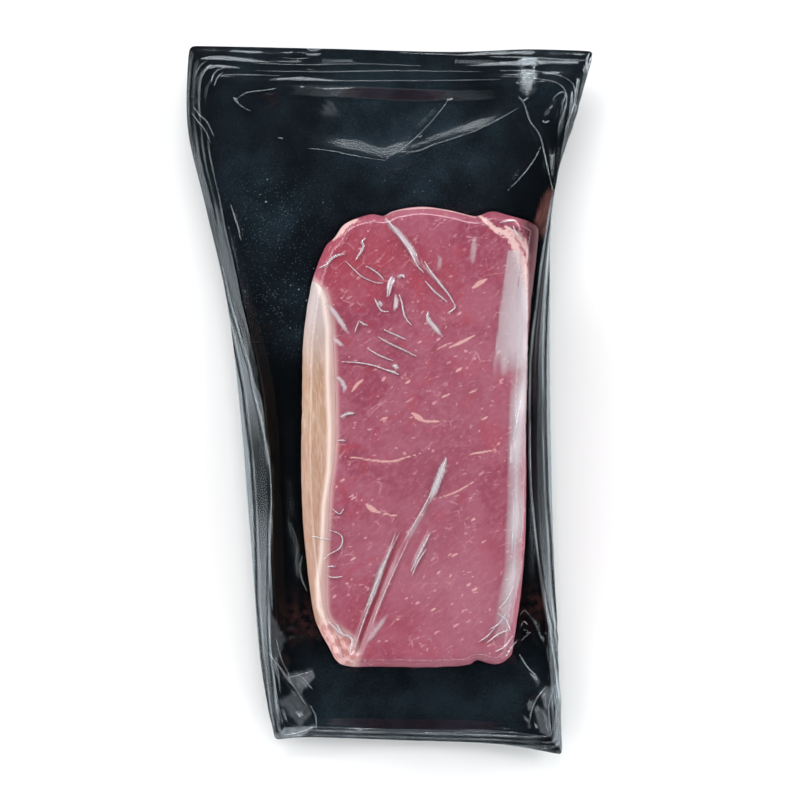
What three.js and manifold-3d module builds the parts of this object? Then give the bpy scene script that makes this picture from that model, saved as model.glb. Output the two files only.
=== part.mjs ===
// Vacuum-packed beef roast: a thick block of sirloin with its fat cap, lying in a black formed film
// under a clear top film that has been drawn down tight over the meat.
// Millimetres, +Z up. X runs across the pack and Y along it, towards the wide empty end.
// The origin is the middle of the pack's outline, on the surface that it lies on.

import * as THREE from "three";
import { mergeVertices } from "three/addons/utils/BufferGeometryUtils.js";
import Module from "manifold-3d";

const wasm = await Module();
wasm.setup();

// Films, thicker than real film so that each is a workable solid
const baseThickness = 0.8;
const topThickness = 0.6;
const clearance = 0.35;
const topClearance = 0.5;

// The roast
const roastHeight = 60;
const roastTop = baseThickness + clearance + roastHeight;
const roastBottom = baseThickness + clearance;
const girthHeight = 40;
const shoulderPower = 2.4;
const hipPower = 3.2;
const topInset = { right: 7, top: 5, left: 6.5, bottom: 5 };
const bottomInset = { right: 9, top: 9, left: 9, bottom: 9 };
const floorMargin = 3;
const crownDrop = 2.2;
const crownWave = 0.9;

// The fat cap along the left side
const fatThickness = 12;
const fatStart = 49;
const fatEnd = -10;
const fatShift = new THREE.Vector2(1, 0.6);
const fatTaller = 1.08;
const fatKnob = { centre: new THREE.Vector3(-21, -112, 46), radius: 13 };

// The pack's shelf, rim and edge: heights above the table at each corner and at each side's middle.
// The shelf starts at the meat's foot, where the two films meet.
const footHeight = 20;
const webStart = 1.4;
const recessInset = { right: 0.9, top: 6, left: 5, bottom: 4 };
const recessDepth = { right: 0.2, top: 4, left: 4, bottom: 3 };
const rimHeight = { right: 21, top: 17, left: 21, bottom: 12 };
const rimCornerHeight = { bottomRight: 12, topRight: 20, topLeft: 16, bottomLeft: 12 };
const rimDroop = { right: 9, top: 1.5, left: 8.5, bottom: 5 };
const cornerDroop = { bottomRight: 2.5, topRight: 2.5, topLeft: 2.5, bottomLeft: 2.5 };
const recessCornerDepth = { bottomRight: 0.3, topRight: 0.6, topLeft: 0.6, bottomLeft: 0.6 };
const tuckRidge = { from: [-28, 108], dip: [4, 102], to: [64, 124], height: 3.4, width: 6 };

// How finely each surface is divided
const acrossCells = 10;
const alongCells = 20;
const shoulderSteps = [0.16, 0.34, 0.54, 0.76];
const hipSteps = [0.3, 0.6, 0.82];
const webShares = [0, 0.36, 0.7, 1];
const rimShares = [0, 0.4, 0.75, 1];

// Each outline has four sides, taken anticlockwise from the lower right corner
const sideNames = ["right", "top", "left", "bottom"];
const sideCells = [alongCells, acrossCells, alongCells, acrossCells];
const cornerNames = ["bottomRight", "topRight", "topLeft", "bottomLeft"];

const roastGirth = {
  right: [[54, -109], [57.5, -78], [59, -43], [59, 2], [60.6, 36], [63, 58], [64.6, 74]],
  top: [[64.6, 74], [59, 80], [47, 82], [35.5, 80.5], [24, 83.4], [10, 84], [-2, 80], [-12, 79.4], [-29, 67]],
  left: [[-29, 67], [-34, 52], [-37.6, 31], [-38.6, 10], [-38.6, -38], [-37, -70], [-33.5, -94], [-28, -107]],
  bottom: [[-28, -107], [-21, -114.6], [0, -115.6], [22, -115.2], [35.5, -112.6], [45, -113.6], [54, -109]],
};
const rimLine = {
  right: [[70.4, -146.2], [69.4, -122], [66.8, -84], [64, -43], [63.8, -4], [65.6, 38], [71.4, 92], [79.6, 138]],
  top: [[79.6, 138], [60, 137.4], [26, 136.4], [-26, 138], [-79, 140]],
  left: [[-79, 140], [-79.6, 118], [-74, 88], [-64.6, 44], [-55.5, 2], [-52.6, -45], [-50, -100], [-45.5, -141]],
  bottom: [[-45.5, -141], [-34, -141.6], [5, -143], [47, -143.6], [70.4, -146.2]],
};
const packEdge = {
  right: [[75, -154.5], [72.6, -100], [70.4, -38], [69.4, 30], [70.6, 88], [79, 119], [89, 152.5]],
  top: [[89, 152.5], [60, 153.3], [26, 152.2], [-26, 153.6], [-88, 155]],
  left: [[-88, 155], [-88.6, 120], [-81, 86], [-71.6, 45], [-66, 0], [-61.2, -58], [-57, -112], [-50.5, -148]],
  bottom: [[-50.5, -148], [-36, -146.8], [5, -148.2], [47, -149.8], [75, -154.5]],
};

// Where a share of one of the roast's sides meets the same side of the pack, which is longer
const sidePairing = {
  right: [[0, 0], [0.2, 0.26], [0.8, 0.63], [1, 1]],
  left: [[0, 0], [0.2, 0.37], [0.8, 0.74], [1, 1]],
};

const lerp = THREE.MathUtils.lerp;
const smooth = (x) => THREE.MathUtils.smoothstep(x, 0, 1);

function sideCurve(points) {
  return new THREE.SplineCurve(points.map(([x, y]) => new THREE.Vector2(x, y)));
}

function pairedShare(side, share) {
  const pairs = sidePairing[side] ?? [[0, 0], [1, 1]];
  const k = pairs.findIndex(([start], i) => i + 1 < pairs.length && share >= start && share < pairs[i + 1][0]);
  const [[fromShare, fromPaired], [toShare, toPaired]] = [pairs[k], pairs[k + 1]];
  return lerp(fromPaired, toPaired, (share - fromShare) / (toShare - fromShare));
}

// Walks round an outline and returns one entry for each vertex: its place, side name, share along the
// side, and the way out from the outline.
function walkOutline(outline, paired) {
  const stations = [];
  sideNames.forEach((side, s) => {
    const curve = sideCurve(outline[side]);
    for (let i = 0; i < sideCells[s]; i++) {
      const share = i / sideCells[s];
      const place = curve.getPointAt(paired ? pairedShare(side, share) : share);
      stations.push({ place, side, index: s, share });
    }
  });
  stations.forEach((station, i) => {
    const before = stations[(i + stations.length - 1) % stations.length].place;
    const after = stations[(i + 1) % stations.length].place;
    const along = after.clone().sub(before).normalize();
    station.out = new THREE.Vector2(along.y, -along.x);
  });
  return stations;
}

// A value given for each side, blended over the corners so that it changes smoothly round the outline
function perSide(values, station, blend = 0.1) {
  const here = values[station.side];
  const next = values[sideNames[(station.index + 1) % 4]];
  const last = values[sideNames[(station.index + 3) % 4]];
  const toNext = smooth((station.share - (1 - blend)) / blend) / 2;
  const toLast = smooth((blend - station.share) / blend) / 2;
  return here + (next - here) * toNext + (last - here) * toLast;
}

// A height given at the four corners and at each side's middle
function cornerToMiddle(corners, middles, station) {
  const start = corners[cornerNames[station.index]];
  const end = corners[cornerNames[(station.index + 1) % 4]];
  const middle = middles[station.side];
  const t = station.share;
  return t < 0.5 ? lerp(start, middle, smooth(t * 2)) : lerp(middle, end, smooth(t * 2 - 1));
}

const girth = walkOutline(roastGirth, false);
const rimInner = walkOutline(rimLine, true);
const edge = walkOutline(packEdge, true);
const around = girth.length;

const offset = (station, distance) => station.place.clone().addScaledVector(station.out, distance);

// The roast's top face is a low crown with slow waves
function crownHeight(x, y) {
  const crown = crownDrop * ((x - 12) ** 2 / 50 ** 2 + (y + 15) ** 2 / 140 ** 2);
  const wave = crownWave * (Math.sin(x / 14 + 1) * Math.cos(y / 23) + 0.6 * Math.sin((x + y) / 19));
  return roastTop - crown + wave;
}

const topEdge = girth.map((station) => offset(station, -perSide(topInset, station)));
const bottomEdge = girth.map((station) => offset(station, -perSide(bottomInset, station)));

// A ring of the roast between its top edge and its girth: share 0 is the top edge
function shoulderRing(share) {
  const turn = (share * Math.PI) / 2;
  const outShare = Math.sin(turn) ** (2 / shoulderPower);
  const upShare = Math.cos(turn) ** (2 / shoulderPower);
  return girth.map((station, i) => {
    const plan = topEdge[i].clone().lerp(station.place, outShare);
    const top = crownHeight(topEdge[i].x, topEdge[i].y);
    return new THREE.Vector3(plan.x, plan.y, girthHeight + (top - girthHeight) * upShare);
  });
}

// A ring of the roast between its girth and its flat underside: share 1 is the underside's edge
function hipRing(share) {
  const turn = ((1 - share) * Math.PI) / 2;
  const outShare = Math.sin(turn) ** (2 / hipPower);
  const downShare = Math.cos(turn) ** (2 / hipPower);
  return girth.map((station, i) => {
    const plan = bottomEdge[i].clone().lerp(station.place, outShare);
    return new THREE.Vector3(plan.x, plan.y, girthHeight + (roastBottom - girthHeight) * downShare);
  });
}

function floorRing() {
  return girth.map((station, i) => {
    const plan = bottomEdge[i].clone().addScaledVector(station.out, -floorMargin);
    return new THREE.Vector3(plan.x, plan.y, roastBottom);
  });
}

// The ridge where the empty end of the pack is tucked across in front of the meat
const ridgeCurve = sideCurve([tuckRidge.from, tuckRidge.dip, tuckRidge.to]).getPoints(24);
function tuckHeight(plan) {
  const reach = Math.min(...ridgeCurve.map((point) => point.distanceTo(plan)));
  return tuckRidge.height * Math.exp(-((reach / tuckRidge.width) ** 2));
}

// The shelf of joined film round the meat, its recess and the sealed rim, as rings from the meat outwards
function shelfRings() {
  const rimTop = edge.map((station) => cornerToMiddle(rimCornerHeight, rimHeight, station));
  const recess = rimInner.map((station) => offset(station, -perSide(recessInset, station)));
  const web = webShares.map((share) =>
    girth.map((station, i) => {
      const plan = offset(station, webStart).lerp(recess[i], share);
      const depth = cornerToMiddle(recessCornerDepth, recessDepth, edge[i]);
      const height = lerp(footHeight, rimTop[i] - depth, smooth(share));
      const ridge = share > 0 && share < 1 ? tuckHeight(plan) : 0;
      return new THREE.Vector3(plan.x, plan.y, height + ridge);
    }),
  );
  const rim = rimShares.map((share) =>
    edge.map((station, i) => {
      const droop = cornerToMiddle(cornerDroop, rimDroop, station);
      const plan = rimInner[i].place.clone().lerp(station.place, share);
      return new THREE.Vector3(plan.x, plan.y, rimTop[i] - droop * share ** 1.3);
    }),
  );
  return [...web, ...rim];
}

function borderPoint(i, j, { onLeft, onRight, onBottom, onTop }) {
  if (i === 0) return onLeft;
  if (i === acrossCells) return onRight;
  if (j === 0) return onBottom;
  return j === alongCells ? onTop : null;
}

// Fills the inside of a ring with a grid that follows its four sides (a Coons patch).
// Returns the points row by row; the outermost ones repeat the ring.
function patchInside(ring, heightAt) {
  const [right, top, left] = [0, alongCells, alongCells + acrossCells];
  const bottom = left + alongCells;
  const rows = [];
  for (let j = 0; j <= alongCells; j++) {
    const row = [];
    for (let i = 0; i <= acrossCells; i++) {
      const [s, t] = [i / acrossCells, j / alongCells];
      const onLeft = ring[left + alongCells - j];
      const onRight = ring[right + j];
      const onBottom = ring[(bottom + i) % around];
      const onTop = ring[top + acrossCells - i];
      const border = borderPoint(i, j, { onLeft, onRight, onBottom, onTop });
      if (border) {
        row.push(border);
        continue;
      }
      const corners = [ring[bottom], ring[0], ring[left], ring[top]];
      const blend = (axis) =>
        lerp(onLeft[axis], onRight[axis], s) +
        lerp(onBottom[axis], onTop[axis], t) -
        lerp(lerp(corners[0][axis], corners[1][axis], s), lerp(corners[2][axis], corners[3][axis], s), t);
      const [x, y] = [blend("x"), blend("y")];
      row.push(new THREE.Vector3(x, y, heightAt(x, y)));
    }
    rows.push(row);
  }
  return rows;
}

// Collects quads and turns them into a geometry with shared vertices
class Surface {
  constructor() {
    this.positions = [];
  }
  triangle(a, b, c) {
    for (const point of [a, b, c]) this.positions.push(point.x, point.y, point.z);
  }
  quad(a, b, c, d) {
    this.triangle(a, b, c);
    this.triangle(a, c, d);
  }
  band(inner, outer) {
    for (let i = 0; i < around; i++) {
      const next = (i + 1) % around;
      this.quad(inner[i], outer[i], outer[next], inner[next]);
    }
  }
  bands(rings) {
    for (let k = 0; k + 1 < rings.length; k++) this.band(rings[k], rings[k + 1]);
  }
  // The same bands, divided alike, with their faces turned under
  underBands(rings) {
    for (let k = 0; k + 1 < rings.length; k++)
      for (let i = 0; i < around; i++) {
        const next = (i + 1) % around;
        this.quad(rings[k][i], rings[k][next], rings[k + 1][next], rings[k + 1][i]);
      }
  }
  patch(rows) {
    for (let j = 0; j + 1 < rows.length; j++)
      for (let i = 0; i + 1 < rows[j].length; i++)
        this.quad(rows[j][i], rows[j][i + 1], rows[j + 1][i + 1], rows[j + 1][i]);
  }
  // Closes an anticlockwise ring with flat faces that look down
  floor(ring) {
    const outline = ring.map((point) => new THREE.Vector2(point.x, point.y));
    for (const [a, b, c] of THREE.ShapeUtils.triangulateShape(outline, [])) {
      const turn = THREE.ShapeUtils.area([outline[a], outline[b], outline[c]]);
      if (turn < 0) this.triangle(ring[a], ring[b], ring[c]);
      else this.triangle(ring[a], ring[c], ring[b]);
    }
  }
  geometry() {
    const geometry = new THREE.BufferGeometry();
    geometry.setAttribute("position", new THREE.Float32BufferAttribute(this.positions, 3));
    return mergeVertices(geometry, 1e-3);
  }
}

// The way out at each vertex: the mean of its faces' directions, whatever their areas
function vertexDirections(surface) {
  const place = surface.getAttribute("position");
  const index = surface.index.array;
  const directions = Array.from({ length: place.count }, () => new THREE.Vector3());
  const face = new THREE.Triangle();
  const normal = new THREE.Vector3();
  for (let f = 0; f < index.length; f += 3) {
    const corners = index.slice(f, f + 3);
    face.setFromAttributeAndIndices(place, ...corners).getNormal(normal);
    for (const corner of corners) directions[corner].add(normal);
  }
  return directions.map((direction) => direction.normalize());
}

// Thickens an open surface into a closed sheet. The surface's faces point outwards from the pack; the
// sheet lies between two distances out from it, the nearer of which may differ from point to point.
function thicken(surface, nearAt, thickness) {
  const place = surface.getAttribute("position");
  const directions = vertexDirections(surface);
  const count = place.count;
  const positions = [];
  for (const layer of [0, thickness])
    directions.forEach((direction, i) => {
      const point = new THREE.Vector3().fromBufferAttribute(place, i);
      point.addScaledVector(direction, nearAt(point.x, point.y) + layer);
      positions.push(...point.toArray());
    });
  const faces = Array.from(surface.index.array);
  const edges = new Map();
  const index = [];
  for (let f = 0; f < faces.length; f += 3) {
    const [a, b, c] = faces.slice(f, f + 3);
    index.push(b, a, c, a + count, b + count, c + count);
    for (const [from, to] of [[a, b], [b, c], [c, a]]) {
      if (edges.has(to + "," + from)) edges.delete(to + "," + from);
      else edges.set(from + "," + to, [from, to]);
    }
  }
  for (const [from, to] of edges.values())
    index.push(from, to, to + count, from, to + count, from + count);
  const sheet = new THREE.BufferGeometry();
  sheet.setAttribute("position", new THREE.Float32BufferAttribute(positions, 3));
  return sheet.setIndex(index);
}

const shoulder = shoulderSteps.map(shoulderRing);
const hip = hipSteps.map(hipRing);
const crown = patchInside(shoulderRing(0), crownHeight);
const underside = [hipRing(1), floorRing()];
const shelf = shelfRings();

function roastBody() {
  const surface = new Surface();
  surface.patch(crown);
  surface.bands([shoulderRing(0), ...shoulder, shoulderRing(1), ...hip, underside[0]]);
  surface.floor(underside[0]);
  return surface.geometry();
}

function topFilm() {
  const surface = new Surface();
  surface.patch(crown);
  surface.bands([shoulderRing(0), ...shoulder, shoulderRing(1), ...shelf]);
  return thicken(surface.geometry(), () => topClearance, topThickness);
}

function baseFilm() {
  const surface = new Surface();
  surface.underBands(shelf);
  surface.bands([shelf[0], ...hip, ...underside]);
  surface.floor(underside[1]);
  const underMeat = (x, y) => girthDistance(x, y) < webStart / 2;
  return thicken(surface.geometry(), (x, y) => (underMeat(x, y) ? clearance : 0), baseThickness);
}

// How far a point lies outside the girth, or less than 0 inside it
function girthDistance(x, y) {
  const point = new THREE.Vector2(x, y);
  let best = { reach: Infinity, side: 0 };
  for (const station of girth) {
    const reach = station.place.distanceTo(point);
    if (reach < best.reach) best = { reach, side: point.clone().sub(station.place).dot(station.out) };
  }
  return best.side;
}

function toSolid(geometry) {
  const merged = geometry.index ? geometry : mergeVertices(geometry, 1e-3);
  return new wasm.Manifold(
    new wasm.Mesh({
      numProp: 3,
      vertProperties: new Float32Array(merged.getAttribute("position").array),
      triVerts: new Uint32Array(merged.index.array),
    }),
  );
}

function fromSolid(solid) {
  const mesh = solid.getMesh();
  const geometry = new THREE.BufferGeometry();
  geometry.setAttribute("position", new THREE.BufferAttribute(mesh.vertProperties, 3));
  geometry.setIndex(new THREE.BufferAttribute(mesh.triVerts, 1));
  geometry.computeVertexNormals();
  return geometry;
}

// The space that the lean fills: the body moved in from the left by the fat's thickness and made
// taller, so that the boundary runs from top to bottom, less the lobe of fat at the lower corner.
function leanSpace(inset, knobRadius) {
  const moved = roastBody().scale(1, 1, fatTaller);
  moved.translate(inset * fatShift.x, inset * fatShift.y, girthHeight * (1 - fatTaller));
  const knob = mergeVertices(plainGeometry(new THREE.IcosahedronGeometry(knobRadius, 2)), 1e-3);
  knob.translate(fatKnob.centre.x, fatKnob.centre.y, fatKnob.centre.z);
  const gap = inset - fatThickness;
  const beyondStart = block(400, 200).translate(0, fatStart + 100 + gap, 0);
  const beyondEnd = block(200, 400).translate(fatEnd + 100 + gap, 0, 0);
  return toSolid(moved).subtract(toSolid(knob)).add(toSolid(beyondStart)).add(toSolid(beyondEnd));
}

function block(width, depth) {
  return mergeVertices(plainGeometry(new THREE.BoxGeometry(width, depth, 400)), 1e-3);
}

function plainGeometry(geometry) {
  geometry.deleteAttribute("normal");
  geometry.deleteAttribute("uv");
  return geometry;
}

function leanAndFat() {
  const body = toSolid(roastBody());
  const fat = body.subtract(leanSpace(fatThickness - clearance / 2, fatKnob.radius));
  const lean = body.intersect(leanSpace(fatThickness + clearance / 2, fatKnob.radius + clearance));
  return { lean: fromSolid(largest(lean)), fat: fromSolid(largest(fat)) };
}

function largest(solid) {
  return solid.decompose().reduce((a, b) => (b.volume() > a.volume() ? b : a));
}

const materials = {
  lean: new THREE.MeshStandardMaterial({ color: 0xa85a6c, roughness: 0.45, metalness: 0 }),
  fat: new THREE.MeshStandardMaterial({ color: 0xe3c6ae, roughness: 0.5, metalness: 0 }),
  blackFilm: new THREE.MeshStandardMaterial({ color: 0x101419, roughness: 0.25, metalness: 0 }),
  clearFilm: new THREE.MeshStandardMaterial({
    color: 0xf2f5f7,
    roughness: 0.1,
    metalness: 0,
    transparent: true,
    opacity: 0.25,
  }),
};

function piece(name, geometry, material) {
  const mesh = new THREE.Mesh(geometry, material);
  mesh.name = name;
  return mesh;
}

const { lean, fat } = leanAndFat();
const pack = new THREE.Group();
pack.add(
  piece("base_film", baseFilm(), materials.blackFilm),
  piece("lean_roast", lean, materials.lean),
  piece("fat_cap", fat, materials.fat),
  piece("top_film", topFilm(), materials.clearFilm),
);

export default pack;
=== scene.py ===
"""Vacuum-packed beef roast: marbled meat with its fat cap, in a black formed film under clear film.

Lengths are in millimetres until a mesh is made, and the frame is the CAD model's: X across the pack,
Y along it towards the wide empty end, Z up.
"""

import math

import bpy
import numpy as np
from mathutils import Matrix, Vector
from mathutils.bvhtree import BVHTree


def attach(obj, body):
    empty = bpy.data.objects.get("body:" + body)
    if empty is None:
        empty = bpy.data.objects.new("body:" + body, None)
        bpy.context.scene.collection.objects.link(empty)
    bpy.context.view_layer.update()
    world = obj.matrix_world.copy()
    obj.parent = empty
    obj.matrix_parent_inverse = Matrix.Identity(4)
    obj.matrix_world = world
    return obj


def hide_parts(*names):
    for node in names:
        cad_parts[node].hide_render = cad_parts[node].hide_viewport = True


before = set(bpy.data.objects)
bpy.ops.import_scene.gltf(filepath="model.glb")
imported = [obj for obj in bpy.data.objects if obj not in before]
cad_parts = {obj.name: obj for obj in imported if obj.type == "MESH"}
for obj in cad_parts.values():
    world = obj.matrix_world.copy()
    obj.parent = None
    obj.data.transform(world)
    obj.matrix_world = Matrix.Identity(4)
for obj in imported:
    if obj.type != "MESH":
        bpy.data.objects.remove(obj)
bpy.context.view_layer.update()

MM = 0.001
rng = np.random.default_rng(7)

# The photograph's scale, and the pixel that shows the origin
MM_PER_PX = 0.435
ORIGIN_PX = (390.5, 401.0)
FRAME_PX = 800

# Heights and the roast's section
BASE_FILM = 0.8
CLEARANCE = 0.35
ROAST_BOTTOM = BASE_FILM + CLEARANCE
ROAST_TOP = ROAST_BOTTOM + 60
GIRTH_Z = 40
FOOT_Z = 20
FOOT_ABOVE_RECESS = 1.5
SHOULDER_POWER = 2.4
HIP_POWER = 3.2
SIDES = ("right", "top", "left", "bottom")
TOP_INSET = {"right": 7, "top": 5, "left": 6.5, "bottom": 5}
BOTTOM_INSET = {"right": 9, "top": 9, "left": 9, "bottom": 9}
FLOOR_MARGIN = 3
CROWN_DROP = 2.2
CROWN_WAVE = 0.9

# The pack's shelf and rim
WEB_START = 0.7
RECESS_INSET = {"right": 0.9, "top": 6, "left": 5, "bottom": 4}
RECESS_DEPTH = {"right": 0.2, "top": 4, "left": 4, "bottom": 3}
RECESS_CORNER_DEPTH = (0.3, 0.6, 0.6, 0.6)
RIM_HEIGHT = {"right": 21, "top": 17, "left": 21, "bottom": 12}
RIM_CORNER_HEIGHT = (12, 20, 16, 12)
RIM_DROOP = {"right": 9, "top": 1.5, "left": 8.5, "bottom": 5}
CORNER_DROOP = (2.5, 2.5, 2.5, 2.5)

# Outlines, each in four sides taken anticlockwise from the lower right corner
ROAST_GIRTH = {
    "right": [(53, -110), (57.5, -78), (59, -43), (59, 2), (60.6, 36), (63, 58), (64.8, 75)],
    "top": [
        (64.8, 75), (60, 78.4), (52.5, 80.4), (44, 82.6), (36.8, 80.4), (27, 82.8), (13, 84.6), (1, 82.6),
        (-3, 80.2), (-8, 81.4), (-19.4, 77.6), (-24.5, 70.8), (-28, 68),
    ],
    "left": [
        (-28, 68), (-34, 53), (-37.6, 31), (-38.6, 10), (-38.8, -38), (-36.6, -70), (-33, -94), (-27, -107),
    ],
    "bottom": [
        (-27, -107), (-21, -114.6), (-4, -115.4), (20, -115.6), (34, -114.8), (37.2, -112.4), (42, -114),
        (48, -114), (53, -110),
    ],
}
RIM_LINE = {
    "right": [
        (70.4, -146.2), (69.4, -122), (66.8, -84), (64, -43), (63.8, -4), (65.6, 38), (71.4, 92), (79.6, 138),
    ],
    "top": [(79.6, 138), (60, 137.4), (26, 136.4), (-26, 138), (-79, 140)],
    "left": [
        (-79, 140), (-79.6, 118), (-74, 88), (-64.6, 44), (-55.5, 2), (-52.6, -45), (-50, -100), (-45.5, -141),
    ],
    "bottom": [(-45.5, -141), (-34, -141.6), (5, -143), (47, -143.6), (70.4, -146.2)],
}
PACK_EDGE = {
    "right": [(75, -154.5), (72.6, -100), (70.4, -38), (69.4, 30), (70.6, 88), (79, 119), (89, 152.5)],
    "top": [(89, 152.5), (60, 153.3), (26, 152.2), (-26, 153.6), (-88, 155)],
    "left": [
        (-88, 155), (-88.6, 120), (-81, 86), (-71.6, 45), (-66, 0), (-61.2, -58), (-57, -112), (-50.5, -148),
    ],
    "bottom": [(-50.5, -148), (-36, -146.8), (5, -148.2), (47, -149.8), (75, -154.5)],
}
PAIRING = {
    "right": ((0, 0.2, 0.8, 1), (0, 0.26, 0.63, 1)),
    "left": ((0, 0.2, 0.8, 1), (0, 0.37, 0.74, 1)),
}

# How finely the surfaces are divided: cells across and along the meat's face, and rings outside it
ACROSS = 118
ALONG = 232
SHOULDER_RINGS = 22
HIP_RINGS = 10
WEB_RINGS = 24
WALL_RINGS = 4
RIM_RINGS = 42

# The films' thicknesses, the clear film's height over the surface, and the height of their ripples
FILM = 0.16
FILM_GAP = 0.22
FORMED_FILM = 0.35
CROWN_RIPPLE = 0.04
SIDE_PLEATS = 0.2
SHELF_SLACK = 0.3
SHELF_RIPPLE = 0.07

# What the clear film's gloss loses where it is pressed on the meat's steep sides, and where it lies dull
PRESSED_GLOSS = -0.03
MATT_GLOSS = -0.021

# How milky, glossy and wide the creases are over the meat and over the shelf; the milkiness over the meat is
# partly a painted highlight
CROWN_CREASE_LOOK = (0.22, 0.16, 1.15)
SKIRT_CREASE_LOOK = (0.0, 0.09, 0.95)


def at(x, y):
    """The place, in mm, of a point of the photograph."""
    return ((x - ORIGIN_PX[0]) * MM_PER_PX, (ORIGIN_PX[1] - y) * MM_PER_PX)


def path(*points):
    return np.array([at(x, y) for x, y in points])


def smoothstep(low, high, x):
    t = np.clip((x - low) / (high - low), 0, 1)
    return t * t * (3 - 2 * t)


# Outlines


def spline(points, steps=40):
    """A dense Catmull-Rom curve through the points."""
    p = np.array(points, float)
    before, after = np.vstack([p[:1], p[:-2]]), np.vstack([p[2:], p[-1:]])
    start, end = p[:-1], p[1:]
    t = np.linspace(0, 1, steps, endpoint=False)[None, :, None]
    v0 = (end - before)[:, None] / 2
    v1 = (after - start)[:, None] / 2
    start, end = start[:, None], end[:, None]
    curve = (2 * start - 2 * end + v0 + v1) * t**3
    curve = curve + (-3 * start + 3 * end - 2 * v0 - v1) * t**2 + v0 * t + start
    return np.vstack([curve.reshape(-1, 2), p[-1:]])


def along_curve(curve, shares):
    """Points at shares of the curve's length."""
    length = np.r_[0, np.cumsum(np.linalg.norm(np.diff(curve, axis=0), axis=1))]
    where = np.asarray(shares) * length[-1]
    return np.column_stack([np.interp(where, length, curve[:, k]) for k in (0, 1)])


def soften(values, spread):
    """Smooths a closed run of values over that many neighbours."""
    reach = int(spread * 3) + 1
    weights = np.exp(-0.5 * (np.arange(-reach, reach + 1) / spread) ** 2)
    weights /= weights.sum()
    return sum(w * np.roll(values, k, axis=0) for w, k in zip(weights, range(-reach, reach + 1)))


class Stations:
    """The vertices round an outline: place, way out, side number and share along the side."""

    def __init__(self, outline, spread, paired=False):
        places, sides, shares = [], [], []
        for s, side in enumerate(SIDES):
            cells = (ALONG, ACROSS)[s % 2]
            share = np.arange(cells) / cells
            at_share = np.interp(share, *PAIRING[side]) if paired and side in PAIRING else share
            places.append(along_curve(spline(outline[side]), at_share))
            sides.append(np.full(cells, s))
            shares.append(share)
        self.side = np.concatenate(sides)
        self.share = np.concatenate(shares)
        self.place = soften(np.vstack(places), spread)
        run = np.roll(self.place, -1, axis=0) - np.roll(self.place, 1, axis=0)
        run /= np.linalg.norm(run, axis=1, keepdims=True)
        self.out = soften(np.column_stack([run[:, 1], -run[:, 0]]), 2)

    def moved(self, distance):
        return self.place + self.out * np.reshape(distance, (-1, 1))

    def per_side(self, values, blend=0.1):
        """A value for each side, blended over the corners."""
        listed = np.array([values[side] for side in SIDES], float)
        here, following, last = (listed[(self.side + k) % 4] for k in (0, 1, 3))
        onward = smoothstep(1 - blend, 1, self.share) / 2
        back = smoothstep(1 - blend, 1, 1 - self.share) / 2
        return here + (following - here) * onward + (last - here) * back

    def corner_to_middle(self, corners, middles):
        """A value for each corner and each side's middle, blended between them."""
        corners = np.array(corners, float)
        start, end = corners[self.side], corners[(self.side + 1) % 4]
        middle = np.array([middles[side] for side in SIDES], float)[self.side]
        first = start + (middle - start) * smoothstep(0, 0.5, self.share)
        second = middle + (end - middle) * smoothstep(0.5, 1, self.share)
        return np.where(self.share < 0.5, first, second)


girth = Stations(ROAST_GIRTH, 1.6)
rim_line = Stations(RIM_LINE, 3, paired=True)
edge = Stations(PACK_EDGE, 1.2, paired=True)
AROUND = len(girth.place)
rim_top = edge.corner_to_middle(RIM_CORNER_HEIGHT, RIM_HEIGHT)
recess_top = rim_top - edge.corner_to_middle(RECESS_CORNER_DEPTH, RECESS_DEPTH)
foot_top = np.minimum(FOOT_Z, recess_top + FOOT_ABOVE_RECESS)


# Smooth noise, and distances to lines


class Waves:
    """Seeded smooth noise over the plan: a sum of waves in all directions near one wavelength."""

    def __init__(self, wavelength, count=14):
        angle = rng.uniform(0, 2 * np.pi, count)
        rate = 2 * np.pi / (wavelength * rng.uniform(0.7, 1.4, count))
        self.rates = np.column_stack([np.cos(angle) * rate, np.sin(angle) * rate])
        self.phase = rng.uniform(0, 2 * np.pi, count)

    def __call__(self, x, y):
        turns = np.multiply.outer(x, self.rates[:, 0]) + np.multiply.outer(y, self.rates[:, 1])
        return np.sin(turns + self.phase).mean(axis=-1) * 2


def to_path(points, line):
    """For each point: its distance to the line, the share along it, and the side (left is positive)."""
    best = np.full(len(points), 1e9)
    share = np.zeros(len(points))
    side = np.zeros(len(points))
    lengths = np.linalg.norm(np.diff(line, axis=0), axis=1)
    total, done = lengths.sum(), 0.0
    for start, end, length in zip(line[:-1], line[1:], lengths):
        run = (end - start) / length
        rel = points - start
        t = np.clip(rel @ run, 0, length)
        gap = np.linalg.norm(rel - t[:, None] * run, axis=1)
        nearer = gap < best
        best = np.where(nearer, gap, best)
        share = np.where(nearer, (done + t) / total, share)
        side = np.where(nearer, run[0] * rel[:, 1] - run[1] * rel[:, 0], side)
        done += length
    return best, share, side


def inside(plan, corners):
    """1 inside a convex outline given clockwise, falling to 0 over half a millimetre outside it."""
    depth = np.full(len(plan), 1e9)
    for start, end in zip(corners, np.roll(corners, -1, axis=0)):
        run = (end - start) / np.linalg.norm(end - start)
        rel = plan - start
        depth = np.minimum(depth, run[1] * rel[:, 0] - run[0] * rel[:, 1])
    return smoothstep(-0.5, 0.2, depth)


def taper(share, ends=0.25):
    """1 along a line's middle, falling to 0 at its ends."""
    return smoothstep(0, ends, share) * smoothstep(0, ends, 1 - share)


# The roast


def crown_height(x, y):
    crown = CROWN_DROP * ((x - 12) ** 2 / 50**2 + (y + 15) ** 2 / 140**2)
    wave = CROWN_WAVE * (np.sin(x / 14 + 1) * np.cos(y / 23) + 0.6 * np.sin((x + y) / 19))
    return ROAST_TOP - crown + wave


top_edge = girth.moved(-girth.per_side(TOP_INSET))
bottom_edge = girth.moved(-girth.per_side(BOTTOM_INSET))


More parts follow.
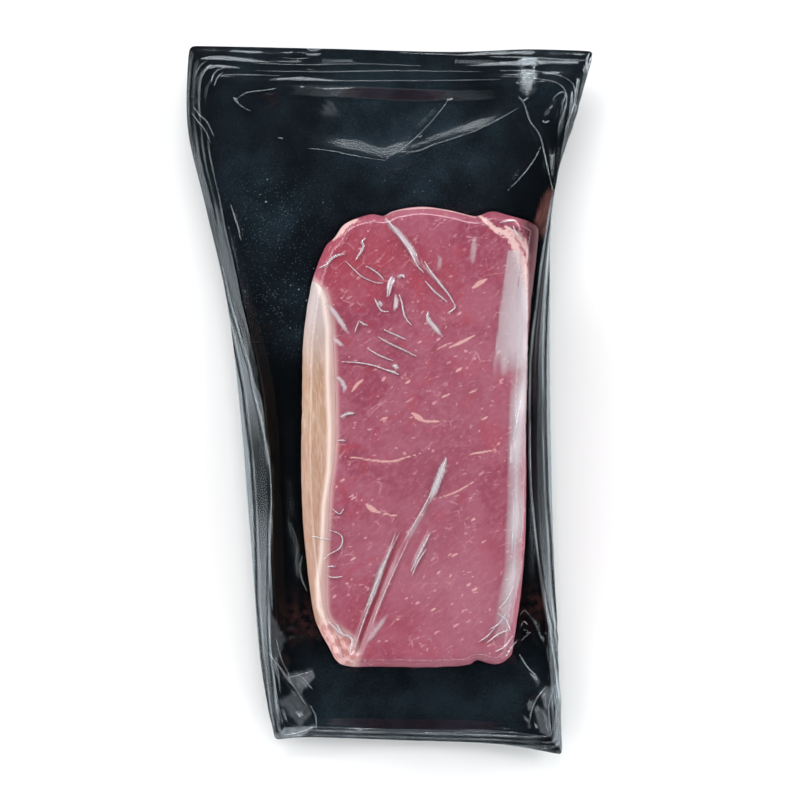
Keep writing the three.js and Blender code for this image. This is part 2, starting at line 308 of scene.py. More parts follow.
def shoulder_ring(share):
    turn = share * math.pi / 2
    out = math.sin(turn) ** (2 / SHOULDER_POWER)
    up = max(math.cos(turn), 0) ** (2 / SHOULDER_POWER)
    plan = top_edge + (girth.place - top_edge) * out
    height = crown_height(*top_edge.T)
    return np.column_stack([plan, GIRTH_Z + (height - GIRTH_Z) * up])


def hip_ring(share):
    turn = (1 - share) * math.pi / 2
    out = math.sin(turn) ** (2 / HIP_POWER)
    down = math.cos(turn) ** (2 / HIP_POWER)
    plan = bottom_edge + (girth.place - bottom_edge) * out
    return np.column_stack([plan, np.full(AROUND, GIRTH_Z + (ROAST_BOTTOM - GIRTH_Z) * down)])


def floor_ring():
    plan = bottom_edge - girth.out * FLOOR_MARGIN
    return np.column_stack([plan, np.full(AROUND, float(ROAST_BOTTOM))])


def web_rings():
    """The shelf of joined film round the meat, from its foot to the recess, and the wall up to the rim."""
    recess = rim_line.moved(-rim_line.per_side(RECESS_INSET))
    foot = girth.moved(WEB_START)
    rings = []
    for share in np.linspace(0, 1, WEB_RINGS):
        plan = foot + (recess - foot) * share
        height = foot_top + (recess_top - foot_top) * smoothstep(0, 1, share)
        rings.append(np.column_stack([plan, height]))
    for share in np.arange(1, WALL_RINGS + 1) / (WALL_RINGS + 1):
        plan = recess + (rim_line.place - recess) * share
        rings.append(np.column_stack([plan, recess_top + (rim_top - recess_top) * share]))
    return rings


def rim_rings():
    droop = edge.corner_to_middle(CORNER_DROOP, RIM_DROOP)
    rings = []
    for share in np.linspace(0, 1, RIM_RINGS):
        plan = rim_line.place + (edge.place - rim_line.place) * share
        rings.append(np.column_stack([plan, rim_top - droop * share**1.3]))
    return rings


# Meshes


def patch(ring):
    """A grid of points that fills the ring, row by row, with its border on the ring (a Coons patch)."""
    right, top = ring[: ALONG + 1], ring[ALONG : ALONG + ACROSS + 1][::-1]
    left = ring[ALONG + ACROSS : 2 * ALONG + ACROSS + 1][::-1]
    bottom = np.vstack([ring[2 * ALONG + ACROSS :], ring[:1]])
    s = np.linspace(0, 1, ACROSS + 1)[None, :, None]
    t = np.linspace(0, 1, ALONG + 1)[:, None, None]
    between = left[:, None] * (1 - s) + right[:, None] * s
    upward = bottom[None] * (1 - t) + top[None] * t
    corners = (bottom[0] * (1 - s) + bottom[-1] * s) * (1 - t) + (top[0] * (1 - s) + top[-1] * s) * t
    return between + upward - corners


def patch_border():
    """The numbers of the patch's border points, in the order of the rings' stations."""
    grid = np.arange((ALONG + 1) * (ACROSS + 1)).reshape(ALONG + 1, ACROSS + 1)
    return np.concatenate([grid[:-1, -1], grid[-1, :0:-1], grid[:0:-1, 0], grid[0, :-1]])


def patch_quads():
    grid = np.arange((ALONG + 1) * (ACROSS + 1)).reshape(ALONG + 1, ACROSS + 1)
    return np.stack([grid[:-1, :-1], grid[:-1, 1:], grid[1:, 1:], grid[1:, :-1]], axis=-1).reshape(-1, 4)


def ring_quads(loops):
    """Quads between each loop of point numbers and the next one outside or below it."""
    quads = []
    for inner, outer in zip(loops[:-1], loops[1:]):
        quads.append(np.column_stack([inner, outer, np.roll(outer, -1), np.roll(inner, -1)]))
    return np.vstack(quads)


def loops_from(first, count):
    return [first + k * AROUND + np.arange(AROUND) for k in range(count)]


def normals_of(points, quads):
    """The way out at each point: the mean direction of the faces round it."""
    a, b, c, d = (points[quads[:, k]] for k in range(4))
    face = np.cross(c - a, d - b)
    face /= np.maximum(np.linalg.norm(face, axis=1, keepdims=True), 1e-9)
    total = np.zeros_like(points)
    for k in range(4):
        np.add.at(total, quads[:, k], face)
    return total / np.maximum(np.linalg.norm(total, axis=1, keepdims=True), 1e-9)


def mesh_object(name, points, faces):
    mesh = bpy.data.meshes.new(name)
    mesh.from_pydata((points * MM).tolist(), [], faces)
    mesh.update()
    mesh.shade_smooth()
    made = bpy.data.objects.new(name, mesh)
    bpy.context.scene.collection.objects.link(made)
    return made


def closed_sheet(name, points, quads, outward, near, far, borders):
    """A closed sheet between two distances out from a surface. A border is a loop of the surface's
    free edge, in the order that its faces run."""
    count = len(points)
    both = np.vstack([points + outward * near[:, None], points + outward * far[:, None]])
    faces = np.vstack([quads[:, ::-1], quads + count])
    walls = []
    for loop in borders:
        following = np.roll(loop, -1)
        walls.append(np.column_stack([loop, following, following + count, loop + count]))
    made = mesh_object(name, both, np.vstack([faces, *walls]).tolist())
    made.data.set_sharp_from_angle(angle=math.radians(60))
    return made


def paint(made, name, values):
    """A number at each point, for a material to read."""
    attribute = made.data.attributes.new(name, "FLOAT", "POINT")
    attribute.data.foreach_set("value", np.asarray(values, np.float32))


def points_of(made):
    flat = np.zeros(len(made.data.vertices) * 3)
    made.data.vertices.foreach_get("co", flat)
    return flat.reshape(-1, 3) / MM


# Broad folds in the film over the meat: points of the photograph, height and half width in mm, and how
# milky the film looks along it, which is partly a painted highlight along the fold

FOLDS = [
    ([(386, 222), (394, 230), (403, 240), (411, 251), (419, 265)], 1.0, 1.8, 0.55),
    ([(419, 262), (432, 276), (446, 291)], 0.6, 1.2, 0.2),
    ([(394, 277), (390, 286), (388, 297)], 0.8, 1.2, 0.5),
    ([(396, 295), (396, 304), (395, 312)], 0.4, 1.2, 0.55),
    ([(378, 302), (381, 305), (382, 308)], 0.4, 1.1, 0.4),
    ([(399, 279), (402, 276), (404, 278)], 0.4, 0.9, 0.4),
    ([(327, 304), (334, 312), (341, 322), (349, 334)], 0.5, 1.7, 0.5),
    ([(333, 338), (338, 342), (344, 347)], 0.4, 1.3, 0.42),
    ([(392, 365), (398, 368)], 0.5, 1.2, 0.7),
    ([(428, 312), (428, 320), (435, 329), (442, 337)], 0.6, 1.6, 0.5),
    ([(335, 377), (341, 380), (345, 387), (345, 393)], 0.4, 1.5, 0.45),
    ([(341, 417), (347, 414), (355, 413)], 0.4, 0.9, 0.4),
    ([(446, 457), (442, 468), (437, 482), (429, 502)], 1.0, 2.4, 0.62),
    ([(430, 499), (418, 520), (404, 545)], 0.6, 1.6, 0.16),
    ([(384, 556), (379, 574), (373, 592), (366, 608)], 0.4, 2.0, 0.3),
    ([(388, 612), (378, 626), (366, 642)], 0.4, 1.8, 0.25),
    ([(430, 530), (421, 549), (410, 571)], 0.4, 1.1, 0.3),
    ([(510, 440), (511, 452), (509, 466)], 0.4, 1.6, 0.5),
    ([(521, 400), (518, 418), (512, 437)], 0.4, 1.6, 0.4),
    ([(437, 255), (440, 262), (438, 272)], 0.3, 1.7, 0.14),
    ([(474, 235), (473, 255), (470, 268)], 0.4, 1.9, 0.2),
]

# Crisp creases in the film over the meat: points of the photograph, half width and height in mm

CREASES = [
    ([(385, 219), (392, 227), (401, 239), (410, 252), (417, 266), (424, 274)], 0.45, 0.5),
    ([(424, 262), (431, 273), (440, 285), (448, 295), (454, 305)], 0.45, 0.5),
    ([(425, 282), (434, 292), (440, 297), (447, 303)], 0.4, 0.45),
    ([(454, 305), (454, 309), (447, 314)], 0.35, 0.35),
    ([(366, 239), (362, 243), (364, 247), (361, 253), (356, 261)], 0.5, 0.55),
    ([(319, 269), (326, 266), (331, 261), (336, 257), (345, 255)], 0.5, 0.5),
    ([(346, 262), (355, 271), (363, 278), (375, 283), (383, 284)], 0.28, 0.3),
    ([(366, 267), (372, 270), (380, 276), (384, 281)], 0.35, 0.35),
    ([(393, 276), (389, 283), (388, 290), (387, 298)], 0.35, 0.4),
    ([(395, 278), (392, 285), (389, 297)], 0.3, 0.35),
    ([(397, 278), (401, 276), (405, 279)], 0.35, 0.35),
    ([(399, 295), (402, 304), (404, 315), (408, 322), (412, 326)], 0.35, 0.4),
    ([(375, 299), (379, 308), (383, 312), (389, 312)], 0.35, 0.35),
    ([(359, 321), (363, 324), (368, 326)], 0.4, 0.4),
    ([(359, 322), (357, 327), (355, 333)], 0.25, 0.25),
    ([(384, 330), (390, 333), (397, 336), (406, 340)], 0.4, 0.4),
    ([(378, 337), (390, 344), (403, 350), (417, 357)], 0.4, 0.4),
    ([(368, 349), (380, 356), (393, 361)], 0.35, 0.35),
    ([(342, 362), (359, 363), (375, 366), (386, 370), (399, 375)], 0.32, 0.35),
    ([(386, 370), (393, 372), (399, 375)], 0.5, 0.5),
    ([(428, 312), (427, 319), (434, 326), (440, 334)], 0.35, 0.35),
    ([(341, 417), (347, 414), (355, 413)], 0.45, 0.45),
    ([(337, 440), (346, 440)], 0.35, 0.3),
    ([(312, 535), (322, 537), (331, 539)], 0.3, 0.3),
    ([(329, 529), (340, 533), (343, 539), (340, 547), (330, 553), (324, 558)], 0.3, 0.35),
    ([(333, 508), (340, 513), (344, 508)], 0.3, 0.3),
    ([(328, 565), (336, 565)], 0.3, 0.3),
    ([(328, 574), (333, 576), (343, 575)], 0.3, 0.3),
    ([(446, 458), (442, 468), (438, 480), (431, 496)], 0.4, 0.45),
    ([(443, 461), (437, 478), (427, 500), (417, 518), (405, 538)], 0.3, 0.3),
    ([(430, 532), (421, 549), (411, 570)], 0.3, 0.3),
    ([(396, 530), (388, 553), (377, 580), (364, 612)], 0.22, 0.22),
    ([(399, 532), (386, 560), (374, 592), (363, 622), (353, 652)], 0.22, 0.25),
    ([(408, 540), (394, 570), (381, 600), (371, 626)], 0.2, 0.22),
    ([(426, 548), (418, 560), (412, 574)], 0.3, 0.3),
    ([(337, 622), (343, 632), (352, 637), (350, 652)], 0.4, 0.45),
    ([(497, 612), (505, 618), (510, 630)], 0.35, 0.35),
    ([(488, 628), (498, 622), (505, 612)], 0.3, 0.3),
    ([(494, 650), (503, 645), (512, 634)], 0.3, 0.3),
    ([(478, 640), (487, 634), (494, 626)], 0.25, 0.25),
    ([(505, 655), (511, 645), (517, 640)], 0.3, 0.3),
    ([(329, 620), (337, 628), (345, 635)], 0.45, 0.5),
    ([(498, 607), (506, 598), (512, 585)], 0.35, 0.35),
    ([(486, 641), (498, 632), (508, 628)], 0.35, 0.35),
    ([(520, 400), (515, 425), (512, 440)], 0.3, 0.3),
    ([(513, 500), (512, 530), (511, 552)], 0.3, 0.3),
    ([(512, 227), (516, 235), (521, 241)], 0.3, 0.3),
    ([(499, 224), (508, 222), (516, 222)], 0.3, 0.3),
]

# The hazy band along the meat's right edge: partly film that stands off the meat, and partly a painted
# reflection of a lamp
RIGHT_EDGE = path(
    (520, 250), (525, 285), (526, 320), (526, 375), (524.5, 420), (523.5, 470), (522, 520), (520, 570),
    (514, 600), (506, 645),
)
BAND_REACH = 7.2
BAND_CORE = ((0, 0.3, 0.5, 1), (1.1, 1.2, 3.6, 3.4))
BAND_WINDOW = path((492, 376), (501, 300), (507, 252), (518, 252), (524, 300), (525, 376))


# The trough across the meat's lower half, with half width and depth in mm

TROUGH = path((425, 500), (405, 528), (394, 550), (382, 580), (370, 612), (357, 648))
TROUGH_HALF_WIDTH = 2.6
TROUGH_DEPTH = 1.8
SIDE_TROUGH = path((440, 505), (424, 530), (408, 562))
KNOB_BULGE = [(341, 650, 11, 1.3), (322, 632, 8, 0.6)]


def trough(plan):
    """How deep the trough is at each place, from 0 to 1."""
    depth = np.zeros(len(plan))
    for line, width, share_of in ((TROUGH, TROUGH_HALF_WIDTH, 1.0), (SIDE_TROUGH, 1.8, 0.4)):
        gap, share, _ = to_path(plan, line)
        depth = np.maximum(depth, share_of * np.exp(-((gap / width) ** 2)) * smoothstep(0, 0.5, share))
    return depth


def swell(plan):
    """How far the meat stands out at the knob and sinks in the trough, in mm."""
    return spots_value(plan, KNOB_BULGE) - TROUGH_DEPTH * trough(plan)


def fold_relief(plan):
    """How far the folds lift the film, and how white it looks, at each point over the meat. The white is
    partly milky film and partly a painted highlight.
    """
    lift = np.zeros(len(plan))
    haze_and_highlight = np.zeros(len(plan))
    for points, height, width, white in FOLDS:
        line = spline(path(*points), 8) if len(points) > 2 else path(*points)
        gap, share, _ = to_path(plan, line)
        ends = taper(share, 0.3)
        reach = width * (0.35 + 0.65 * ends)
        lift = np.maximum(lift, height * (0.25 + 0.75 * ends) * np.exp(-((gap / (reach * 0.8)) ** 2)))
        edge_of = smoothstep(reach * 0.62, reach * 0.3, gap)
        haze_and_highlight = np.maximum(haze_and_highlight, white * edge_of * (0.35 + 0.65 * ends))
    return lift, haze_and_highlight


# Milky film and a painted lamp reflection along the meat's right edge, with a paler window at its upper end
def edge_haze_and_reflection(plan):
    gap, share, side = to_path(plan, RIGHT_EDGE)
    within = (side < 0) * taper(share, 0.12)
    uneven = np.clip(0.8 + 0.6 * band_waves(plan[:, 0], plan[:, 1] * 0.6), 0.3, 1.4)
    wide = smoothstep(BAND_REACH * 1.1, BAND_REACH * 0.8, gap)
    core = np.exp(-(((gap - np.interp(share, *BAND_CORE)) / 1.7) ** 2))
    band = within * (0.22 * wide + 0.42 * core) * uneven
    down = smoothstep(at(0, 252)[1], at(0, 335)[1], plan[:, 1])
    across = smoothstep(at(494, 0)[0], at(522, 0)[0], plan[:, 0])
    ragged = plan[:, 1] + 5 * band_waves(plan[:, 0] * 3, plan[:, 1])
    ending = smoothstep(at(0, 378)[1], at(0, 352)[1], ragged)
    window = (0.1 + 0.12 * down + 0.26 * across) * inside(plan, BAND_WINDOW) * ending
    return np.clip(np.maximum(band, window), 0, 0.85)


band_waves = Waves(15)
tight_waves = Waves(7)
slack_waves = Waves(30)
crumple_waves = Waves(13)


def film_over_meat(rings):
    """The clear film over the meat's face and down its sides."""
    face = patch(rings[0])
    face[1:-1, 1:-1, 2] = crown_height(face[1:-1, 1:-1, 0], face[1:-1, 1:-1, 1])
    face = face.reshape(-1, 3)
    points = np.vstack([face, *rings[1:]])
    loops = [patch_border(), *loops_from(len(face), len(rings) - 1)]
    quads = np.vstack([patch_quads(), ring_quads(loops)])
    return points, quads, loops


def make_crown_film():
    rings = [shoulder_ring(share) for share in np.linspace(0, 1, SHOULDER_RINGS) ** 0.9]
    foot = np.column_stack([girth.moved(WEB_START), foot_top])
    rings += [rings[-1] + (foot - rings[-1]) * share for share in (0.2, 0.4, 0.6, 0.8, 1)]
    points, quads, loops = film_over_meat(rings)
    outward = normals_of(points, quads)
    x, y, z = points.T
    lift, haze_and_highlight = fold_relief(points[:, :2])
    lift = lift + swell(points[:, :2])
    on_top = smoothstep(GIRTH_Z + 4, GIRTH_Z + 15, z)
    side = (1 - on_top) * smoothstep(FOOT_Z, FOOT_Z + 8, z)
    ripple = CROWN_RIPPLE * tight_waves(x, y) * on_top
    pleats = SIDE_PLEATS * side * (1 + tight_waves(x * 1.6 + z * 0.1, y * 1.6))
    near = FILM_GAP + lift * on_top + ripple + pleats
    made = closed_sheet("crown_film", points, quads, outward, near, near + FILM, [loops[-1]])
    # The milky layer over the meat: milky film, and painted highlights along the folds and the right edge
    white = np.maximum(haze_and_highlight, edge_haze_and_reflection(points[:, :2])) * on_top
    paint(made, "haze_and_highlight", np.tile(white, 2))
    steep = np.maximum(smoothstep(0.9, 0.7, outward[:, 2]), smoothstep(ROAST_TOP - 5, ROAST_TOP - 11, z))
    pressed = steep * (1 - np.clip(white * 2, 0, 1))
    paint(made, "gloss", np.tile(PRESSED_GLOSS * pressed, 2))
    return made, rings[-1]


# A crease's section, in half widths across and heights up: a rounded ridge, sunk a little at its foot
CREASE_PROFILE = [
    (-1, -0.3), (-0.72, 0.42), (-0.38, 0.85), (0, 1), (0.38, 0.85), (0.72, 0.42), (1, -0.3), (0, -0.5),
]


def crease_points(line, half_width, height, surface):
    """Points of one crease: a closed ridge that lies along the line on a surface, thin at both ends."""
    count = max(8, int(np.linalg.norm(np.diff(line, axis=0), axis=1).sum() / 0.35))
    middle = along_curve(line, np.linspace(0, 1, count))
    run = np.gradient(middle, axis=0)
    run /= np.linalg.norm(run, axis=1, keepdims=True)
    across = np.column_stack([-run[:, 1], run[:, 0]])
    thin = np.sin(np.pi * np.linspace(0.04, 0.96, count)) ** 0.5
    rows = []
    for place, side, share in zip(middle, across, thin):
        ground, up = surface(place)
        out = np.array([*side, 0.0])
        rows.append(
            [ground + out * a * half_width * share + up * b * height * share for a, b in CREASE_PROFILE]
        )
    return np.array(rows)


def film_surface(made):
    """Looks down on a mesh: gives the highest point at a place in the plan, and the way out there."""
    places = [vertex.co[:] for vertex in made.data.vertices]
    tree = BVHTree.FromPolygons(places, [face.vertices[:] for face in made.data.polygons])

    def look(place):
        above = Vector((place[0] * MM, place[1] * MM, 0.2))
        hit, normal, _, _ = tree.ray_cast(above, Vector((0, 0, -1)))
        if hit is None:
            hit, normal, _, _ = tree.find_nearest(Vector((above.x, above.y, FOOT_Z * MM)))
        normal = np.array(normal)
        return np.array(hit) / MM, normal if normal[2] > 0 else -normal

    return look


KNURLS = ((322, 352, 60), (455, 492, 61), (500, 575, 62))
KNURL_STEP_PX = 2.6

SKIRT_CREASES = [
    *[
        ([(x, y + 2), (x + 1.4, y - 2)], 0.2, 0.2)
        for start, end, y in KNURLS
        for x in np.arange(start, end, KNURL_STEP_PX)
    ],
    ([(306, 47), (312, 49), (321, 48)], 0.8, 0.5),
    ([(306, 53), (313, 54), (320, 53)], 0.7, 0.5),
    ([(283, 57), (296, 58), (310, 57)], 0.25, 0.3),
    ([(300, 86), (304, 86)], 0.5, 0.5),
    ([(316, 87), (330, 88), (352, 87)], 0.25, 0.25),
    ([(400, 52), (430, 53), (470, 54), (520, 52)], 0.3, 0.3),
    ([(250, 62), (300, 64), (360, 63), (420, 65)], 0.25, 0.3),
    ([(255, 70), (320, 71), (400, 70), (480, 71)], 0.25, 0.3),
    ([(270, 79), (340, 80), (420, 80), (500, 79)], 0.25, 0.25),
    ([(590, 52), (587, 60), (588, 72)], 0.6, 0.6),
    ([(596, 50), (592, 62), (590, 73)], 0.5, 0.5),
    ([(236, 99), (246, 92), (260, 90), (275, 88)], 0.35, 0.4),
    ([(236, 101), (242, 106), (250, 110)], 0.35, 0.35),
    ([(233, 97), (236, 100), (238, 103)], 0.7, 0.9),
    ([(211, 82), (213, 74), (218, 69), (224, 67)], 0.35, 0.35),
    ([(214, 85), (217, 77), (222, 72)], 0.3, 0.3),
    ([(223, 74), (245, 74), (280, 75)], 0.25, 0.25),
    ([(193, 106), (199, 114), (207, 122), (213, 135)], 0.35, 0.35),
    ([(191, 112), (197, 120), (205, 130), (210, 142)], 0.3, 0.3),
    ([(195, 75), (199, 66), (206, 60)], 0.3, 0.3),
    ([(200, 78), (205, 70), (210, 63)], 0.3, 0.3),
    ([(278, 137), (283, 138)], 0.5, 0.5),
    ([(490, 56), (530, 57), (587, 60)], 0.45, 0.4),
    ([(500, 70), (540, 71), (570, 80), (575, 100), (565, 130)], 0.3, 0.3),
    ([(500, 76), (535, 78), (560, 84), (567, 100), (558, 128)], 0.3, 0.3),
    ([(520, 97), (525, 105), (530, 120), (540, 135), (545, 155), (553, 190)], 0.45, 0.55),
    ([(519, 96), (523, 100), (528, 97)], 0.6, 0.6),
    ([(541, 146), (534, 160), (520, 178), (508, 190)], 0.35, 0.4),
    ([(543, 120), (546, 122), (549, 120)], 0.8, 0.9),
    ([(447, 98), (450, 99), (453, 97)], 0.8, 0.9),
    ([(417, 135), (420, 136), (422, 134)], 0.6, 0.7),
    ([(308, 148), (330, 150), (360, 156), (385, 160)], 0.3, 0.35),
    ([(385, 160), (396, 152), (420, 150), (436, 142)], 0.3, 0.35),
    ([(360, 148), (372, 154), (388, 156), (402, 148), (425, 128), (450, 98)], 0.3, 0.35),
    ([(400, 156), (440, 142), (480, 128), (518, 108)], 0.35, 0.4),
    ([(552, 100), (560, 92), (566, 94), (562, 104)], 0.5, 0.6),
    ([(230, 204), (233, 212), (237, 225), (241, 240)], 0.4, 0.4),
    ([(545, 590), (550, 630), (555, 665), (558, 692)], 0.35, 0.4),
    ([(546, 688), (538, 698), (533, 708), (530, 722)], 0.45, 0.5),
    ([(553, 692), (549, 710), (552, 735)], 0.35, 0.4),
    ([(268, 653), (276, 664), (290, 682), (305, 705)], 0.45, 0.5),
    ([(276, 640), (281, 660), (290, 678)], 0.35, 0.4),
    ([(295, 673), (304, 680), (312, 690)], 0.5, 0.5),
    ([(285, 736), (300, 733), (313, 728)], 0.45, 0.45),
    ([(310, 706), (315, 716), (316, 730)], 0.35, 0.35),
    ([(317, 731), (400, 733), (480, 735), (530, 738)], 0.3, 0.35),
    ([(302, 556), (300, 568), (302, 581), (307, 592)], 0.5, 0.6),
    ([(298, 545), (296, 560), (298, 575)], 0.3, 0.4),
    ([(520, 655), (528, 668), (537, 676)], 0.4, 0.4),
    ([(521, 628), (524, 622), (528, 625)], 0.4, 0.45),
    ([(522, 641), (526, 637), (531, 633)], 0.45, 0.5),
    ([(520, 616), (525, 611), (530, 616)], 0.3, 0.3),
    ([(524, 630), (528, 632), (526, 638)], 0.35, 0.4),
    ([(276, 660), (284, 676), (294, 688)], 0.35, 0.4),
    ([(283, 679), (298, 676), (311, 672)], 0.3, 0.35),
    ([(222, 266), (231, 302), (240, 334), (249, 362), (256, 395), (262, 424)], 0.35, 0.4),
    ([(547, 226), (541, 262), (537, 300), (533.5, 335)], 0.35, 0.4),
    ([(546, 300), (544.5, 345), (545, 400), (545.5, 450)], 0.3, 0.35),
    ([(530.5, 420), (531, 470), (534, 520), (539, 560)], 0.35, 0.4),
    ([(546.5, 490), (549, 530), (551, 560), (553, 600)], 0.3, 0.35),
    ([(547, 612), (551, 636), (556, 668)], 0.35, 0.4),
    ([(235, 335), (241, 372), (246, 405), (249, 440)], 0.3, 0.35),
    ([(266, 440), (270, 472), (271, 505), (270, 540), (269, 590)], 0.35, 0.4),
]


def make_creases(name, creases, film, white, gloss, widening):
    """All the creases of one film, as one object."""
    surface = film_surface(film)
    points, faces = [], []
    for crease, half_width, height in creases:
        half_width *= widening
        line = spline(path(*crease), 12) if len(crease) > 2 else path(*crease)
        rows = crease_points(line, half_width, height, surface)
        count, around = rows.shape[:2]
        first = len(points)
        points += rows.reshape(-1, 3).tolist()
        grid = first + np.arange(count * around).reshape(count, around)
        for here, following in zip(grid[:-1], grid[1:]):
            faces += np.column_stack([here, np.roll(here, -1), np.roll(following, -1), following]).tolist()
        faces += [grid[0][::-1].tolist(), grid[-1].tolist()]
    made = mesh_object(name, np.array(points), faces)
    # The milky layer along a crease, partly a painted highlight
    paint(made, "haze_and_highlight", np.full(len(points), white))
    paint(made, "gloss", np.full(len(points), gloss))
    return made


# Folds and tucks in the shelf: points of the photograph, height and half width in mm

SHELF_FOLDS = [
    (
        [(300, 152), (330, 150), (360, 155), (385, 160), (420, 150), (455, 140), (490, 128), (530, 108)],
        2.0, 5.0,
    ),
    ([(385, 160), (405, 146), (425, 128), (452, 98)], 1.0, 3.2),
    ([(330, 118), (350, 112), (376, 118), (400, 126)], 0.9, 5.0),
    ([(528, 56), (529, 75), (530, 96)], 1.7, 3.2),
    ([(236, 101), (250, 95), (276, 89)], 0.9, 1.6),
    ([(236, 101), (252, 109), (268, 112)], 0.8, 1.6),
    ([(236, 98), (234, 101)], 1.0, 1.6),
    ([(520, 97), (530, 118), (543, 143), (549, 168), (553, 190)], 1.1, 2.2),
    ([(543, 143), (534, 160), (520, 178), (508, 190)], 0.7, 2.6),
    ([(546, 121), (556, 108), (566, 92)], 0.7, 2.4),
    ([(230, 205), (236, 225), (246, 252)], 0.7, 1.4),
    ([(268, 653), (282, 672), (305, 705)], 1.3, 2.0),
    ([(262, 655), (285, 664), (316, 668)], 0.9, 1.9),
    ([(272, 700), (290, 712), (308, 728)], 1.1, 2.0),
    ([(266, 612), (272, 640), (268, 656)], 0.9, 1.8),
    ([(535, 700), (548, 715), (556, 740)], 1.1, 2.1),
    ([(520, 672), (538, 666), (552, 672)], 0.8, 2.0),
    ([(524, 712), (532, 722), (534, 735)], 0.9, 1.8),
    ([(556, 88), (567, 110), (560, 138)], 0.9, 2.0),
    ([(290, 668), (304, 680), (314, 690)], 1.0, 1.8),
    ([(276, 640), (296, 632), (314, 640)], 0.9, 2.2),
    ([(300, 700), (340, 692), (400, 698), (470, 700), (520, 690)], 0.6, 5.0),
    ([(545, 690), (536, 702), (530, 720)], 1.1, 2.0),
    ([(520, 610), (534, 628), (545, 650)], 1.0, 2.0),
    ([(504, 660), (520, 668), (540, 690)], 0.8, 2.2),
    ([(240, 340), (252, 372), (262, 405)], 0.6, 1.8),
    ([(290, 520), (300, 545), (300, 580)], 0.8, 1.4),
]


# The shelf and rim


def flap_folds(plan):
    """How far the shelf's folds lift it at each point."""
    lift = np.zeros(len(plan))
    for points, height, width in SHELF_FOLDS:
        gap, share, _ = to_path(plan, spline(path(*points), 10))
        lift = np.maximum(lift, height * (0.2 + 0.8 * taper(share)) * np.exp(-((gap / width) ** 2)))
    return lift


RIM_RIDGES = [(0.03, 0.5, 0.07), (0.3, 0.35, 0.07), (0.56, 0.55, 0.08), (0.84, 0.4, 0.07)]
RIDGE_STRENGTH = {"right": 0.6, "top": 0.6, "left": 0.6, "bottom": 0.8}


def rim_profile(share, station, drift, strength):
    """Fine ridges that run along the sealed rim, each fading in and out along its length."""
    turns = station / AROUND * 2 * np.pi
    ridge = np.zeros_like(share)
    for k, (centre, height, width) in enumerate(RIM_RIDGES):
        wander = 0.03 * np.sin(turns * (3 + k) + 2 * k) + drift
        beat = np.sin(turns * (7 + 3 * k) + 1.7 * k) * np.sin(turns * (3 + k) + k)
        fade = np.clip(0.6 + 0.8 * beat, 0.1, 1.2)
        ridge += height * fade * strength * np.exp(-(((share - centre - wander) / width) ** 2))
    return ridge


# The ribbon along each side's rim: row, inner border and outer black line in pixels, and how pale it is.
# The bottom's gives the column first. Its outer strip past the black line is a pale margin. The ribbon's
# paleness and its pale lines are painted reflections of the lamps, drawn as milky film.

LEFT_RIBBON = [
    (262, 221, 212, 0.02), (300, 230, 222, 0.05), (335, 240.5, 232, 0.16), (366, 250.8, 238.5, 0.22),
    (393, 255.3, 243.6, 0.2), (416, 260.7, 246, 0.1), (445, 266.1, 249.5, 0.02), (470, 269.2, 252, 0.01),
    (506, 271, 254.4, 0.03), (530, 270, 255.2, 0.12), (564, 269.5, 256.2, 0.2), (600, 269.2, 257, 0.22),
    (650, 271, 261, 0.16), (700, 276, 267, 0.06), (735, 281, 273, 0.05),
]
RIGHT_RIBBON = [
    (190, 553.5, 558, 0.1), (222, 547.8, 553, 0.24), (268, 540.6, 549, 0.26), (300, 536.9, 546.5, 0.18),
    (332, 533, 545.5, 0.1), (364, 530.5, 544.6, 0.04), (412, 530, 545, 0.01), (460, 530.2, 546, 0.01),
    (492, 531, 547, 0.02), (524, 534.2, 549, 0.04), (556, 538.2, 551, 0.08), (588, 542.7, 553, 0.18),
    (620, 547.8, 555.5, 0.26), (652, 553, 558.5, 0.2), (684, 557, 561, 0.12), (720, 560, 563, 0.05),
]
BOTTOM_RIBBON = [
    (300, 729, 737, 0.03), (318, 731.5, 738.5, 0.03), (400, 733.5, 740.5, 0.04), (480, 735.5, 742.5, 0.03),
    (535, 738, 745, 0.03), (550, 740, 747, 0.03),
]
# How pale the painted reflection lines along the rims are
RIBBON_LINE_HAZE_AND_HIGHLIGHT = 0.42
MARGIN_HAZE = 0.3
FOOT_MATT = {"right": 1.0, "top": 0.2, "left": 1.0, "bottom": 0.1}


def rim_ribbons(plan):
    """How milky the film looks along both rims, and how much of its gloss is gone. Apart from the pale margin,
    the milkiness is painted reflection of the lamps.
    """
    haze_and_highlight = np.zeros(len(plan))
    matt = np.zeros(len(plan))
    column = ORIGIN_PX[0] + plan[:, 0] / MM_PER_PX
    row = ORIGIN_PX[1] - plan[:, 1] / MM_PER_PX
    uneven = np.clip(0.7 + 0.7 * band_waves(plan[:, 0], plan[:, 1] * 0.5), 0.25, 1.3)
    ribbons = (
        (LEFT_RIBBON, -1, row, column, 0.75),
        (RIGHT_RIBBON, 1, row, column, 0.9),
        (BOTTOM_RIBBON, 1, column, row, 0.5),
    )
    for ribbon, way, run, cross, strength in ribbons:
        rows, inner, outer, pale = np.array(ribbon, float).T
        along = smoothstep(rows[0], rows[0] + 30, run) * smoothstep(rows[-1], rows[-1] - 30, run)
        past_inner = way * (cross - np.interp(run, rows, inner))
        past_outer = way * (cross - np.interp(run, rows, outer))
        between = smoothstep(0, 1.2, past_inner) * smoothstep(0, -1.2, past_outer)
        black = np.exp(-((past_outer / 0.9) ** 2)) + np.exp(-(((past_inner - 2.4) / 0.8) ** 2))
        line = np.exp(-((past_inner / 0.9) ** 2)) + 0.7 * np.exp(-(((past_outer + 2.6) / 0.7) ** 2))
        paleness = between * np.interp(run, rows, pale) + RIBBON_LINE_HAZE_AND_HIGHLIGHT * line * uneven
        paleness += MARGIN_HAZE * smoothstep(1, 2.2, past_outer)
        haze_and_highlight = np.maximum(haze_and_highlight, strength * paleness * along * (1 - np.clip(black, 0, 1)))
        matt = np.maximum(matt, np.clip(black + between, 0, 1) * along)
    return haze_and_highlight, matt
